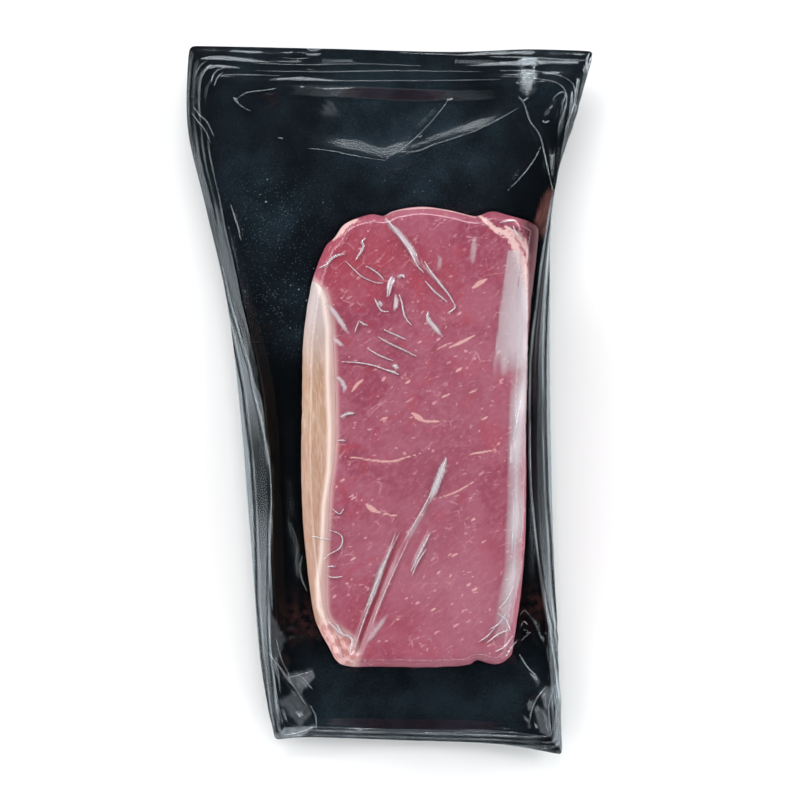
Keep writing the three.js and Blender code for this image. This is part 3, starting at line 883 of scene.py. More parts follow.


# Painted reflections of the lamps on facets of creased film in the pack's corners and the seal's cushion,
# drawn as milky film: outline and how milky

REFLECTION_FACETS = [
    ([(521, 58), (537, 58), (536, 65), (522, 65)], 0.3),
    ([(522, 70), (536, 70), (532, 84), (528, 94), (524, 84)], 0.28),
    ([(284, 678), (311, 671), (315, 677), (302, 691)], 0.12),
    ([(279, 702), (299, 690), (311, 714), (300, 728)], 0.05),
    ([(275, 739), (284, 729), (314, 727), (301, 737)], 0.2),
    ([(269, 610), (284, 640), (275, 668), (270, 650)], 0.05),
    ([(541, 692), (556, 685), (558, 699), (548, 711)], 0.1),
    ([(535, 708), (547, 712), (552, 738), (541, 733)], 0.08),
    ([(556, 702), (562, 716), (564, 752), (553, 742)], 0.16),
    ([(322, 113), (330, 98), (338, 112)], 0.03),
]


# Where the wide fold above the meat is dull: place in the photograph, radius in pixels, and strength
DULL_FOLD = [
    (335, 150, 26, 0.8), (375, 152, 26, 0.8), (415, 146, 22, 0.7), (450, 136, 22, 0.7), (490, 122, 22, 0.6),
]


def reflection_facets(plan):
    pale = np.zeros(len(plan))
    for corners, white in REFLECTION_FACETS:
        pale = np.maximum(pale, white * inside(plan, path(*corners)))
    streaks = np.clip(0.9 + 0.4 * tight_waves(plan[:, 0] * 2, plan[:, 1] * 2), 0.5, 1.3)
    return pale * streaks


# The crumpled corners: the crumples' height in mm, and place in the photograph, radius and strength
CRUMPLE_HEIGHT = 1.5
CRUMPLED = [
    (287, 640, 20, 0.7), (290, 700, 24, 1.0), (546, 700, 26, 1.0), (551, 640, 24, 1.1), (560, 110, 22, 1.0),
]


def shelf_surface(foot, rim_step):
    """Points, faces, lift and way out of the shelf and rim, from the meat's foot to the pack's edge."""
    web, rim = web_rings(), rim_rings()
    web[0] = foot
    shares = np.linspace(0, 1, RIM_RINGS)
    kept = sorted({*range(0, RIM_RINGS, rim_step), RIM_RINGS - 1})
    rings = web + [rim[k] for k in kept]
    points = np.vstack(rings)
    loops = loops_from(0, len(rings))
    quads = ring_quads(loops)
    rim_share = np.r_[np.full(len(web), -1.0), shares[kept]].repeat(AROUND)
    web_share = np.r_[np.linspace(0, 1, WEB_RINGS), np.ones(WALL_RINGS + len(kept))].repeat(AROUND)
    x, y = points[:, 0], points[:, 1]
    free = smoothstep(0, 0.12, web_share)
    lift = flap_folds(points[:, :2]) * free
    lift += SHELF_SLACK * slack_waves(x, y) * free * (1 - np.clip(rim_share, 0, 1))
    lift += SHELF_RIPPLE * tight_waves(x, y) * free
    crumpled = np.clip(spots_value(points[:, :2], CRUMPLED), 0, 1)
    lift += CRUMPLE_HEIGHT * crumpled * np.abs(crumple_waves(x, y)) * free
    return points, quads, loops, lift, normals_of(points, quads), rim_share


def make_skirt_film(foot):
    points, quads, loops, lift, outward, rim_share = shelf_surface(foot, 1)
    x, y = points[:, 0], points[:, 1]
    station = np.tile(np.arange(AROUND), len(loops))
    strength = np.tile(edge.per_side(RIDGE_STRENGTH), len(loops)) * (0.8 + 0.4 * slack_waves(y, x))
    ridges = rim_profile(rim_share, station, 0.03 * slack_waves(x, y), strength)
    near = FILM_GAP + lift + np.where(rim_share >= 0, ridges, 0)
    borders = [loops[0][::-1], loops[-1]]
    made = closed_sheet("skirt_film", points, quads, outward, near, near + FILM, borders)
    # The milky layer on the shelf: painted reflections along the rims and on creased facets, and the pale
    # margin
    haze_and_highlight, matt = rim_ribbons(points[:, :2])
    haze_and_highlight = np.maximum(haze_and_highlight, reflection_facets(points[:, :2]))
    matt = np.maximum(matt, np.clip(spots_value(points[:, :2], DULL_FOLD), 0, 0.75))
    by_foot = np.r_[np.ones(WEB_RINGS + WALL_RINGS), np.zeros(RIM_RINGS)].repeat(AROUND)
    matt = np.maximum(matt, by_foot * np.tile(edge.per_side(FOOT_MATT), len(loops)))
    paint(made, "haze_and_highlight", np.tile(haze_and_highlight, 2))
    paint(made, "gloss", np.tile(MATT_GLOSS * matt, 2))
    paint(made, "cool", np.ones(len(points) * 2))
    return made


def make_base_film(foot):
    """The black film: the shelf from underneath, the pocket round the meat, and its flat bottom."""
    points, _, loops, lift, outward, _ = shelf_surface(foot, 2)
    hips = [hip_ring(share) for share in np.linspace(0.24, 1, HIP_RINGS)]
    for k, hip in enumerate(hips):
        hip[:, 2] = np.minimum(hip[:, 2], foot_top - 0.3 * (k + 1))
    floor_edge = floor_ring()
    centre = floor_edge.mean(axis=0, keepdims=True)
    all_points = np.vstack([points, *hips, floor_edge, centre])
    hip_loops = loops_from(len(points), len(hips) + 1)
    quads = np.vstack([ring_quads(loops)[:, ::-1], ring_quads([loops[0], *hip_loops])])
    down = normals_of(all_points, quads)
    down[hip_loops[-1]] = (0, 0, -1)
    down[-1] = (0, 0, -1)
    down[: len(points)] = -outward
    pocket = len(all_points) - len(points)
    near = np.r_[-lift, np.full(pocket, CLEARANCE)]
    far = near + np.r_[np.full(len(points), FORMED_FILM), np.full(pocket, BASE_FILM)]
    open_film = closed_sheet("base_film_formed", all_points, quads, down, near, far, [loops[-1][::-1]])
    made = close_floor(open_film, hip_loops[-1], len(all_points))
    plan = np.vstack([all_points, all_points])[:, :2]
    paint(made, "purge", purge(plan))
    paint(made, "fold", fold_tint(plan))
    paint(made, "dust_and_sheen", spots_value(plan, DUST_AND_SHEEN))
    paint(made, "grains", np.clip(spots_value(plan, GRAINS), 0, 1))
    return made


def close_floor(made, loop, count):
    """Adds the fans that close both faces of the pocket's bottom."""
    points = points_of(made)
    faces = [list(p.vertices) for p in made.data.polygons]
    hub = count - 1
    for a, b in zip(loop.tolist(), np.roll(loop, -1).tolist()):
        faces.append([a, b, hub])
        faces.append([b + count, a + count, hub + count])
    name = made.name
    bpy.data.objects.remove(made)
    return mesh_object(name, points, faces)


# Dry dusty patches, which also carry painted sheen of the lamps, grains and juice on the black film: place
# in the photograph, radius and strength

DUST_AND_SHEEN = [
    (275, 220, 55, 1.0), (290, 300, 40, 0.7), (400, 170, 60, 0.8), (460, 180, 50, 0.8), (300, 335, 16, 0.8),
    (380, 110, 65, 1.2), (250, 100, 50, 0.6), (330, 705, 45, 1.5), (430, 708, 60, 1.8), (510, 700, 35, 1.5),
    (250, 60, 40, 0.4), (350, 60, 50, 0.3), (450, 60, 50, 0.3), (545, 80, 45, 1.0), (245, 170, 40, 0.6),
    (420, 145, 45, 0.6), (500, 130, 35, 0.6),
]
GRAINS = [(270, 220, 50, 1.0), (285, 300, 40, 0.9), (300, 340, 20, 0.6), (420, 180, 60, 0.35)]
PURGE_SPOTS = [
    (243, 330, 22, 0.4), (258, 410, 16, 0.15), (300, 620, 20, 1.0), (536, 605, 15, 1.0), (272, 98, 9, 0.3),
]
FOLD_CORNERS = path((533, 228), (541, 203), (547, 192), (553, 190), (549, 218), (544, 236))


def fold_tint(plan):
    """The small triangle of film at the meat's upper right corner that is tinted by its juice."""
    return inside(plan, FOLD_CORNERS)


def purge(plan):
    """Where meat juice tints the black film, from 0 to 1."""
    tint = np.zeros(len(plan))
    for x, y, radius, strength in PURGE_SPOTS:
        gap = np.linalg.norm(plan - np.array(at(x, y)), axis=1)
        tint = np.maximum(tint, strength * np.exp(-((gap / (radius * MM_PER_PX)) ** 2)))
    return tint


# The meat: the fat's inner border and its white ridge, which is partly a painted highlight, and the veins and
# sinews with their half widths

FAT_LINE = [
    (306, 272), (314, 280), (321, 287), (327, 295), (331, 312), (333.5, 330), (335, 360), (336, 385),
    (337, 430), (335, 460), (331, 490), (329, 530), (327, 560), (327, 600), (330, 616), (340, 627),
    (352, 635), (357, 648), (356, 690),
]
WHITE_EDGE_AND_HIGHLIGHT = path(
    (318, 284), (324, 300), (328, 330), (328, 380), (330, 430), (329, 470), (324, 505), (322, 552),
    (318, 581), (319, 605), (326, 622),
)
FAT_LEAN_BACK = 5.0

VEINS = [
    ([(345, 456), (360, 458), (375, 460), (392, 461), (406, 457), (420, 453)], 0.55),
    ([(462, 455), (480, 452), (498, 449)], 0.5),
    ([(415, 417), (424, 421), (445, 421)], 0.6),
    ([(412, 413), (418, 417), (424, 421)], 1.2),
    ([(366, 503), (372, 508), (378, 511)], 1.3),
    ([(378, 511), (390, 514), (403, 516)], 0.5),
    ([(449, 348), (460, 343), (474, 336)], 0.75),
    ([(472, 289), (479, 284), (486, 280)], 1.1),
    ([(475, 480), (456, 491), (436, 498)], 0.45),
    ([(496, 354), (500, 351)], 0.9),
    ([(436, 350), (446, 345), (452, 343)], 0.4),
    ([(352, 392), (358, 384), (364, 379)], 0.8),
    ([(382, 381), (386, 377)], 0.8),
    ([(405, 384), (411, 380)], 0.6),
    ([(455, 372), (462, 368)], 0.7),
    ([(440, 398), (449, 394)], 0.5),
    ([(468, 393), (478, 389)], 0.5),
    ([(380, 420), (388, 417)], 0.6),
    ([(480, 420), (489, 416)], 0.5),
    ([(470, 520), (476, 517)], 0.6),
    ([(450, 556), (458, 552)], 0.5),
    ([(350, 560), (356, 556)], 0.5),
    ([(470, 590), (478, 586)], 0.6),
    ([(430, 610), (436, 606)], 0.5),
]
SINEW = [
    ([(476, 214), (486, 223), (494, 231), (502, 238)], 1.1),
    ([(496, 231), (505, 234), (512, 243), (519, 257), (523, 272), (525, 290), (526, 320)], 2.6),
    ([(505, 228), (516, 236), (524, 246), (528, 258)], 1.6),
    ([(502, 222), (514, 222), (520, 232)], 0.5),
    ([(384, 217), (400, 211), (430, 209), (455, 213), (476, 219)], 0.5),
    ([(334, 240), (341, 232), (347, 225), (357, 221)], 2.0),
]


# Where the lean is redder, paler and darker, and the fat knobbly and rosy: place in the photograph, radius
# in pixels, and strength. The darker spots are painted shade, and part of the paleness is painted light.

RED_SPOTS = [
    (345, 262, 34, 0.8), (380, 245, 28, 0.5), (330, 290, 22, 0.3), (445, 300, 30, 0.3), (405, 640, 40, 0.35),
    (360, 610, 26, 0.4), (505, 560, 26, 0.2), (372, 292, 12, 0.6), (425, 265, 34, 0.45),
]
# Paler lean: partly its own paler tone, and partly painted light that brightens the lower end
PALE_AND_LIT_SPOTS = [
    (480, 330, 60, 0.2), (440, 430, 60, 0.25), (500, 380, 40, 0.2), (430, 560, 80, 0.4), (470, 620, 60, 0.35),
]
# Painted shade at the meat's upper right corner, where its side drops away
SHADE_SPOTS = [(536, 232, 14, 1.0), (528, 224, 8, 0.5)]
KNOB_SPOTS = [(341, 650, 20, 1.4), (324, 630, 12, 0.7)]
ROSY_SPOTS = [(303, 450, 16, 0.5), (306, 510, 34, 0.5), (308, 570, 34, 0.6), (316, 615, 26, 0.6)]


def roast_body():
    """The whole roast as one fine closed mesh."""
    shoulder = [shoulder_ring(share) for share in np.linspace(0, 1, 18)]
    hips = [hip_ring(share) for share in np.linspace(0, 1, 7)[1:]]
    points, quads, loops = film_over_meat(shoulder)
    centre = hips[-1].mean(axis=0, keepdims=True)
    all_points = np.vstack([points, *hips, centre])
    lower = loops_from(len(points), len(hips))
    quads = np.vstack([quads, ring_quads([loops[-1], *lower])])
    outward = normals_of(all_points, quads)
    x, y, z = all_points.T
    bumps = 0.22 * slack_waves(x, y) + 0.1 * tight_waves(x, y)
    bumps = (bumps - 0.3) * smoothstep(ROAST_BOTTOM, FOOT_Z, z)
    bumps += swell(all_points[:, :2]) * smoothstep(GIRTH_Z + 4, GIRTH_Z + 15, z)
    all_points = all_points + outward * bumps[:, None]
    hub = len(all_points) - 1
    fan = [[int(b), int(a), hub] for a, b in zip(lower[-1], np.roll(lower[-1], -1))]
    return mesh_object("roast_body", all_points, quads.tolist() + fan)


def fat_cutter(gap):
    """A prism over the fat cap's share of the roast, leaning back under it. Its inner face lies that
    far to the left of the boundary."""
    line = spline(path(*FAT_LINE), 5)
    far_left = path((250, 690), (250, 272))
    outline = np.vstack([line, far_left])
    outline[: len(line), 0] -= gap
    rows = []
    for z, lean in ((-5, FAT_LEAN_BACK), (75, -1.0)):
        shifted = outline.copy()
        shifted[: len(line), 0] -= lean
        rows.append(np.column_stack([shifted, np.full(len(shifted), float(z))]))
    count = len(outline)
    low, high = np.arange(count), np.arange(count) + count
    sides = np.column_stack([low, high, np.roll(high, -1), np.roll(low, -1)])
    faces = sides.tolist() + [high[::-1].tolist(), low.tolist()]
    return mesh_object("fat_cutter", np.vstack(rows), faces)


def boolean(target, tool, operation):
    change = target.modifiers.new("cut", "BOOLEAN")
    change.operation = operation
    change.object = tool
    change.solver = "MANIFOLD"
    bpy.context.view_layer.update()
    depsgraph = bpy.context.evaluated_depsgraph_get()
    result = bpy.data.meshes.new_from_object(target.evaluated_get(depsgraph))
    target.modifiers.clear()
    target.data = result
    bpy.data.objects.remove(tool)


def make_roast():
    lean, fat = roast_body(), roast_body()
    lean.name, fat.name = "lean_beef", "fat_side"
    boolean(lean, fat_cutter(-0.05), "DIFFERENCE")
    boolean(fat, fat_cutter(0.05), "INTERSECT")
    for made in (lean, fat):
        made.data.shade_smooth()
        made.data.set_sharp_from_angle(angle=math.radians(50))
    paint_lean(lean)
    paint_fat(fat)
    return lean, fat


def lines_value(plan, lines):
    """How near a point is to any of the lines: 1 on a line, 0.5 at its half width, falling on outwards."""
    value = np.zeros(len(plan))
    for points, width in lines:
        line = path(*points) if len(points) < 3 else spline(path(*points), 6)
        gap, share, _ = to_path(plan, line)
        reach = width * (0.45 + 0.55 * taper(share, 0.4))
        value = np.maximum(value, np.clip(1 - gap / (2 * reach), 0, 1))
    return value


def spots_value(plan, spots):
    """A sum of soft round spots: place in the photograph, radius in pixels, and strength."""
    value = np.zeros(len(plan))
    for x, y, radius, strength in spots:
        gap = np.linalg.norm(plan - np.array(at(x, y)), axis=1)
        value += strength * np.exp(-((gap / (radius * MM_PER_PX)) ** 2))
    return value


def paint_lean(lean):
    points = points_of(lean)
    plan = points[:, :2]
    high = smoothstep(GIRTH_Z, GIRTH_Z + 12, points[:, 2])
    paint(lean, "vein", lines_value(plan, VEINS) * high)
    paint(lean, "sinew", lines_value(plan, SINEW) * (0.3 + 0.7 * high))
    gap, _, _ = to_path(plan, spline(path(*FAT_LINE), 5))
    paint(lean, "near_fat", np.exp(-((gap / 1.3) ** 2)) * high)
    paint(lean, "red", np.clip(spots_value(plan, RED_SPOTS) + 0.9 * trough(plan), 0, 1))
    # Paler lean, partly painted light towards the lower end
    paint(lean, "pale", np.clip(spots_value(plan, PALE_AND_LIT_SPOTS), 0, 1))
    # Painted shade on the meat's steep right side, darker towards its upper end
    outside = smoothstep(at(525.5, 0)[0], at(528.5, 0)[0], plan[:, 0])
    dark = outside * (0.6 + 0.4 * smoothstep(at(0, 400)[1], at(0, 340)[1], plan[:, 1]))
    # Painted shade at the upper right corner
    corner = spots_value(plan, SHADE_SPOTS)
    # Painted shadow: thin dark lines beside each crease
    beside = [([(x + 2.2, y + 1.6) for x, y in points], 0.5) for points, _, _ in CREASES]
    shade = 0.3 * lines_value(plan, beside) * high
    # The 'dark' attribute holds all this painted shade: the right side, the corner, a little in the trough,
    # and beside the creases
    paint(lean, "dark", np.clip(dark * 0.85 + corner + 0.12 * trough(plan) ** 2 + shade, 0, 1))


def paint_fat(fat):
    points = points_of(fat)
    plan = points[:, :2]
    gap, _, side = to_path(plan, WHITE_EDGE_AND_HIGHLIGHT)
    # The fat's white ridge, partly its own colour and partly a painted highlight
    paint(fat, "ridge", np.exp(-((gap / 1.0) ** 2)))
    paint(fat, "inner", smoothstep(-0.4, 2.0, np.where(side > 0, gap, -gap)))
    paint(fat, "knob", np.clip(spots_value(plan, KNOB_SPOTS), 0, 1))
    top = smoothstep(at(0, 390)[1], at(0, 300)[1], plan[:, 1])
    paint(fat, "pale", top)
    paint(fat, "rosy", np.clip(spots_value(plan, ROSY_SPOTS), 0, 1))


# Materials

RANGE_SOCKETS = ("From Min", "From Max", "To Min", "To Max")


class Graph:
    """A material's node tree, with short calls for the nodes that it uses."""

    def __init__(self, name):
        self.material = bpy.data.materials.new(name)
        self.material.use_nodes = True
        self.tree = self.material.node_tree
        self.tree.nodes.clear()
        coordinates = self.add("ShaderNodeTexCoord")
        scale = self.add("ShaderNodeVectorMath", operation="SCALE")
        self.link(coordinates.outputs["Object"], scale.inputs[0])
        scale.inputs["Scale"].default_value = 1 / MM
        self.place = scale.outputs[0]

    def add(self, kind, **settings):
        node = self.tree.nodes.new(kind)
        for key, value in settings.items():
            setattr(node, key, value)
        return node

    def link(self, source, socket):
        if isinstance(source, (int, float, tuple)):
            if isinstance(source, tuple) and len(source) == 3 and socket.type == "RGBA":
                source = (*source, 1.0)
            socket.default_value = source
        else:
            self.tree.links.new(source, socket)

    def attribute(self, name):
        node = self.add("ShaderNodeAttribute", attribute_name=name)
        return node.outputs["Fac"]

    def mapped(self, scale=(1, 1, 1), turn=0.0, shift=(0, 0, 0)):
        """The place in mm, turned about Z by degrees, then scaled along each axis."""
        node = self.add("ShaderNodeMapping", vector_type="POINT")
        turned = self.add("ShaderNodeMapping", vector_type="POINT")
        self.link(self.place, turned.inputs["Vector"])
        turned.inputs["Rotation"].default_value = (0, 0, math.radians(-turn))
        self.link(turned.outputs[0], node.inputs["Vector"])
        node.inputs["Scale"].default_value = scale
        node.inputs["Location"].default_value = shift
        return node.outputs[0]

    def noise(self, scale, detail=2.0, vector=None, roughness=0.5, distortion=0.0):
        node = self.add("ShaderNodeTexNoise")
        self.link(vector if vector is not None else self.place, node.inputs["Vector"])
        node.inputs["Scale"].default_value = scale
        node.inputs["Detail"].default_value = detail
        node.inputs["Roughness"].default_value = roughness
        node.inputs["Distortion"].default_value = distortion
        return node.outputs["Fac"]

    def voronoi(self, vector, feature="F1"):
        node = self.add("ShaderNodeTexVoronoi", feature=feature)
        self.link(vector, node.inputs["Vector"])
        node.inputs["Scale"].default_value = 1.0
        return node

    def math(self, operation, a, b=0.0, clamp=False):
        node = self.add("ShaderNodeMath", operation=operation, use_clamp=clamp)
        self.link(a, node.inputs[0])
        self.link(b, node.inputs[1])
        return node.outputs[0]

    def step(self, value, low, high, to_low=0.0, to_high=1.0):
        """Maps a value smoothly from low..high."""
        node = self.add("ShaderNodeMapRange", interpolation_type="SMOOTHSTEP", clamp=True)
        self.link(value, node.inputs["Value"])
        for socket, number in zip(RANGE_SOCKETS, (low, high, to_low, to_high)):
            node.inputs[socket].default_value = number
        return node.outputs["Result"]

    def mix(self, factor, a, b):
        node = self.add("ShaderNodeMix", data_type="RGBA")
        self.link(factor, node.inputs["Factor"])
        self.link(a, node.inputs["A"])
        self.link(b, node.inputs["B"])
        return node.outputs["Result"]

    def bump(self, height, distance, strength):
        node = self.add("ShaderNodeBump")
        self.link(height, node.inputs["Height"])
        node.inputs["Distance"].default_value = distance * MM
        node.inputs["Strength"].default_value = strength
        return node.outputs["Normal"]

    def dashes(self, turn, length, width, size, share, shift=(0, 0, 0)):
        """Short scattered dashes: a stretched cell pattern, of which only a share of the cells show."""
        vector = self.mapped((1 / length, 1 / width, 1 / 30), turn, shift)
        wobble = self.noise(0.9, 3.0)
        cells = self.voronoi(vector)
        ragged = self.math("MULTIPLY", self.math("SUBTRACT", wobble, 0.5), 0.35)
        gap = self.math("ADD", cells.outputs["Distance"], ragged)
        dash = self.step(gap, size, size * 0.55)
        chosen = self.add("ShaderNodeSeparateColor")
        self.link(cells.outputs["Color"], chosen.inputs[0])
        shown = self.math("LESS_THAN", chosen.outputs[0], share)
        return self.math("MULTIPLY", dash, shown)

    def surface(self, shader):
        output = self.add("ShaderNodeOutputMaterial")
        self.link(shader, output.inputs["Surface"])
        return self.material

    def principled(self, color, roughness, specular=0.5, normal=None):
        node = self.add("ShaderNodeBsdfPrincipled")
        self.link(color, node.inputs["Base Color"])
        self.link(roughness, node.inputs["Roughness"])
        node.inputs["Specular IOR Level"].default_value = specular
        if normal is not None:
            self.link(normal, node.inputs["Normal"])
        return node


LEAN = (0.275, 0.076, 0.113)
LEAN_DEEP = (0.225, 0.044, 0.074)
LEAN_RED = (0.29, 0.042, 0.062)
LEAN_PALE = (0.36, 0.15, 0.195)
LEAN_SHADE = (0.055, 0.006, 0.011)
MARBLE = (0.56, 0.30, 0.31)
VEIN = (0.56, 0.32, 0.30)
SINEW_COLOR = (0.66, 0.45, 0.43)
NEAR_FAT = (0.52, 0.32, 0.31)


def marbling(g):
    """How much fat shows at each place: broken veins between the muscle bundles, and short flecks."""
    bundles = g.voronoi(g.mapped((1 / 10, 1 / 5.5, 1 / 40), 33), "DISTANCE_TO_EDGE")
    ragged = g.math("MULTIPLY", g.math("SUBTRACT", g.noise(0.7, 4.0), 0.5), 0.16)
    line = g.step(g.math("ADD", bundles.outputs["Distance"], ragged), 0.05, 0.0)
    broken = g.step(g.noise(0.13, 3.0), 0.52, 0.66)
    veins = g.math("MULTIPLY", g.math("MULTIPLY", line, broken), 0.55)
    flecks = g.dashes(32, 7.5, 3.2, 0.2, 0.4)
    flecks = g.math("MAXIMUM", flecks, g.dashes(12, 6.0, 2.6, 0.18, 0.3, (3, 7, 0)))
    flecks = g.math("MAXIMUM", flecks, g.dashes(62, 5.5, 2.8, 0.16, 0.25, (9, 2, 0)))
    flecks = g.math("MAXIMUM", flecks, g.dashes(-25, 5.0, 2.5, 0.14, 0.2, (1, 5, 0)))
    flecks = g.math("MAXIMUM", flecks, g.math("MULTIPLY", g.dashes(40, 3.0, 1.6, 0.2, 0.3, (4, 4, 0)), 0.6))
    clumps = g.step(g.noise(0.06, 2.0), 0.36, 0.6, 0.35, 1.0)
    return g.math("MAXIMUM", veins, g.math("MULTIPLY", flecks, clumps))


def lean_material():
    g = Graph("marbled lean beef")
    broad = g.step(g.noise(0.06, 4.0, distortion=0.6), 0.38, 0.62)
    color = g.mix(broad, LEAN_DEEP, LEAN)
    mottle = g.noise(0.42, 5.0, g.mapped((0.8, 1.25, 1), 35), roughness=0.62)
    color = g.mix(g.step(mottle, 0.46, 0.7, 0, 0.4), color, LEAN_PALE)
    color = g.mix(g.step(mottle, 0.46, 0.28, 0, 0.5), color, LEAN_DEEP)
    crimson = g.noise(0.09, 3.0, g.mapped((1, 1, 1), 20, (5, 2, 0)), distortion=1.0)
    color = g.mix(g.step(crimson, 0.54, 0.68, 0, 0.5), color, LEAN_RED)
    # Paler lean, partly painted light towards the lower end
    color = g.mix(g.math("MULTIPLY", g.attribute("pale"), 0.7), color, LEAN_PALE)
    color = g.mix(g.math("MULTIPLY", g.attribute("red"), 0.7), color, LEAN_RED)
    grain = g.noise(1.1, 4.0, g.mapped((0.35, 1.5, 0.6), 55))
    color = g.mix(g.step(grain, 0.5, 0.75, 0, 0.3), color, LEAN_PALE)
    color = g.mix(g.math("MULTIPLY", marbling(g), 0.74), color, MARBLE)
    ragged = g.math("MULTIPLY", g.math("SUBTRACT", g.noise(1.6, 4.0), 0.5), 0.6)
    vein = g.step(g.math("ADD", g.attribute("vein"), ragged), 0.42, 0.7)
    color = g.mix(g.math("MULTIPLY", vein, 0.85), color, VEIN)
    torn = g.math("MULTIPLY", g.math("SUBTRACT", g.noise(0.8, 5.0, roughness=0.7), 0.5), 1.5)
    sinew = g.step(g.math("ADD", g.attribute("sinew"), torn), 0.4, 0.75)
    color = g.mix(g.math("MULTIPLY", sinew, 0.85), color, SINEW_COLOR)
    color = g.mix(g.math("MULTIPLY", g.attribute("near_fat"), 0.8), color, NEAR_FAT)
    # Painted shade: the 'dark' attribute darkens the lean towards the shade colour
    color = g.mix(g.attribute("dark"), color, LEAN_SHADE)
    bump = g.bump(mottle, 0.15, 0.6)
    shader = g.principled(color, 0.5, 0.08, bump)
    shader.inputs["Subsurface Weight"].default_value = 0.12
    shader.inputs["Subsurface Radius"].default_value = (0.003, 0.001, 0.001)
    shader.inputs["Subsurface Scale"].default_value = 1.0
    return g.surface(shader.outputs[0])


FAT = (0.43, 0.28, 0.205)
FAT_GOLD = (0.38, 0.23, 0.145)
FAT_ROSY = (0.33, 0.165, 0.12)
FAT_PINK = (0.27, 0.105, 0.08)
FAT_PALE = (0.44, 0.385, 0.40)
FAT_WHITE = (0.74, 0.60, 0.55)
FAT_INNER = (0.49, 0.31, 0.30)
KNOB = (0.43, 0.18, 0.175)
KNOB_PALE = (0.64, 0.39, 0.375)


def fat_material():
    g = Graph("beef fat")
    folds = g.noise(0.7, 4.0, g.mapped((0.75, 0.1, 0.3), 3), distortion=0.8)
    color = g.mix(g.step(folds, 0.38, 0.62), FAT_GOLD, FAT)
    streaks = g.noise(1.0, 3.0, g.mapped((1.3, 0.09, 0.3), -5), distortion=1.4)
    color = g.mix(g.step(streaks, 0.47, 0.64, 0, 0.36), color, FAT_PINK)
    fibres = g.noise(2.2, 3.0, g.mapped((1.2, 0.07, 0.3), 4), distortion=0.9)
    color = g.mix(g.step(fibres, 0.5, 0.62, 0, 0.25), color, FAT_WHITE)
    color = g.mix(g.math("MULTIPLY", g.attribute("pale"), 0.8), color, FAT_PALE)
    color = g.mix(g.math("MULTIPLY", g.attribute("rosy"), 0.8), color, FAT_ROSY)
    color = g.mix(g.math("MULTIPLY", g.attribute("inner"), 0.8), color, FAT_INNER)
    # The fat's white ridge, partly its own colour and partly a painted highlight
    color = g.mix(g.math("MULTIPLY", g.attribute("ridge"), 0.85), color, FAT_WHITE)
    blotch = g.step(g.noise(0.3, 3.0), 0.4, 0.6)
    knob = g.mix(blotch, KNOB, KNOB_PALE)
    color = g.mix(g.attribute("knob"), color, knob)
    bump = g.bump(streaks, 0.4, 0.6)
    shader = g.principled(color, 0.45, 0.1, bump)
    shader.inputs["Subsurface Weight"].default_value = 0.2
    shader.inputs["Subsurface Radius"].default_value = (0.004, 0.0025, 0.0018)
    shader.inputs["Subsurface Scale"].default_value = 1.0
    return g.surface(shader.outputs[0])


def film_gloss(g, normal, least, most):
    """The share of light that film reflects: more at a glance, up to a limit, more in a crease, and less
    where the film is pressed on wet meat."""
    view = g.add("ShaderNodeLayerWeight")
    view.inputs["Blend"].default_value = 0.5
    g.link(normal, view.inputs["Normal"])
    steep = g.math("POWER", view.outputs["Facing"], 4.0)
    share = g.math("MINIMUM", g.math("ADD", g.math("MULTIPLY", steep, 0.8), least), most)
    return g.math("ADD", share, g.attribute("gloss"))


# The milky layer's colours, warm over the meat and cool over the shelf; the layer carries painted highlights
# and reflections as well as milky film
MILK_AND_HIGHLIGHT = (0.6, 0.53, 0.56)
MILK_AND_HIGHLIGHT_COOL = (0.5, 0.56, 0.6)


def clear_film_material():
    """Clear film: see-through, with the gloss of both faces and a milky look where it stands off. The milky
    layer also carries painted highlights and reflections.
    """
    g = Graph("clear film")
    bump = g.bump(g.noise(0.35, 3.0), 0.2, 0.3)
    clear = g.add("ShaderNodeBsdfTransparent")
    gloss = g.add("ShaderNodeBsdfGlossy")
    g.link((0.86, 0.95, 1.0), gloss.inputs["Color"])
    g.link(0.12, gloss.inputs["Roughness"])
    g.link(bump, gloss.inputs["Normal"])
    shiny = g.add("ShaderNodeMixShader")
    g.link(film_gloss(g, bump, 0.026, 0.034), shiny.inputs[0])
    g.link(clear.outputs[0], shiny.inputs[1])
    g.link(gloss.outputs[0], shiny.inputs[2])
    milk_and_highlight = g.add("ShaderNodeBsdfDiffuse")
    g.link(g.mix(g.attribute("cool"), MILK_AND_HIGHLIGHT, MILK_AND_HIGHLIGHT_COOL), milk_and_highlight.inputs["Color"])
    haze_and_highlight_mix = g.add("ShaderNodeMixShader")
    g.link(g.attribute("haze_and_highlight"), haze_and_highlight_mix.inputs[0])
    g.link(shiny.outputs[0], haze_and_highlight_mix.inputs[1])
    g.link(milk_and_highlight.outputs[0], haze_and_highlight_mix.inputs[2])
    return g.surface(haze_and_highlight_mix.outputs[0])


BLACK = (0.0017, 0.0025, 0.0033)
DUST_AND_SHEEN_COLOR = (0.0125, 0.0205, 0.028)
SPECK = (0.22, 0.34, 0.4)
JUICE = (0.028, 0.011, 0.01)
FOLD = (0.11, 0.045, 0.04)


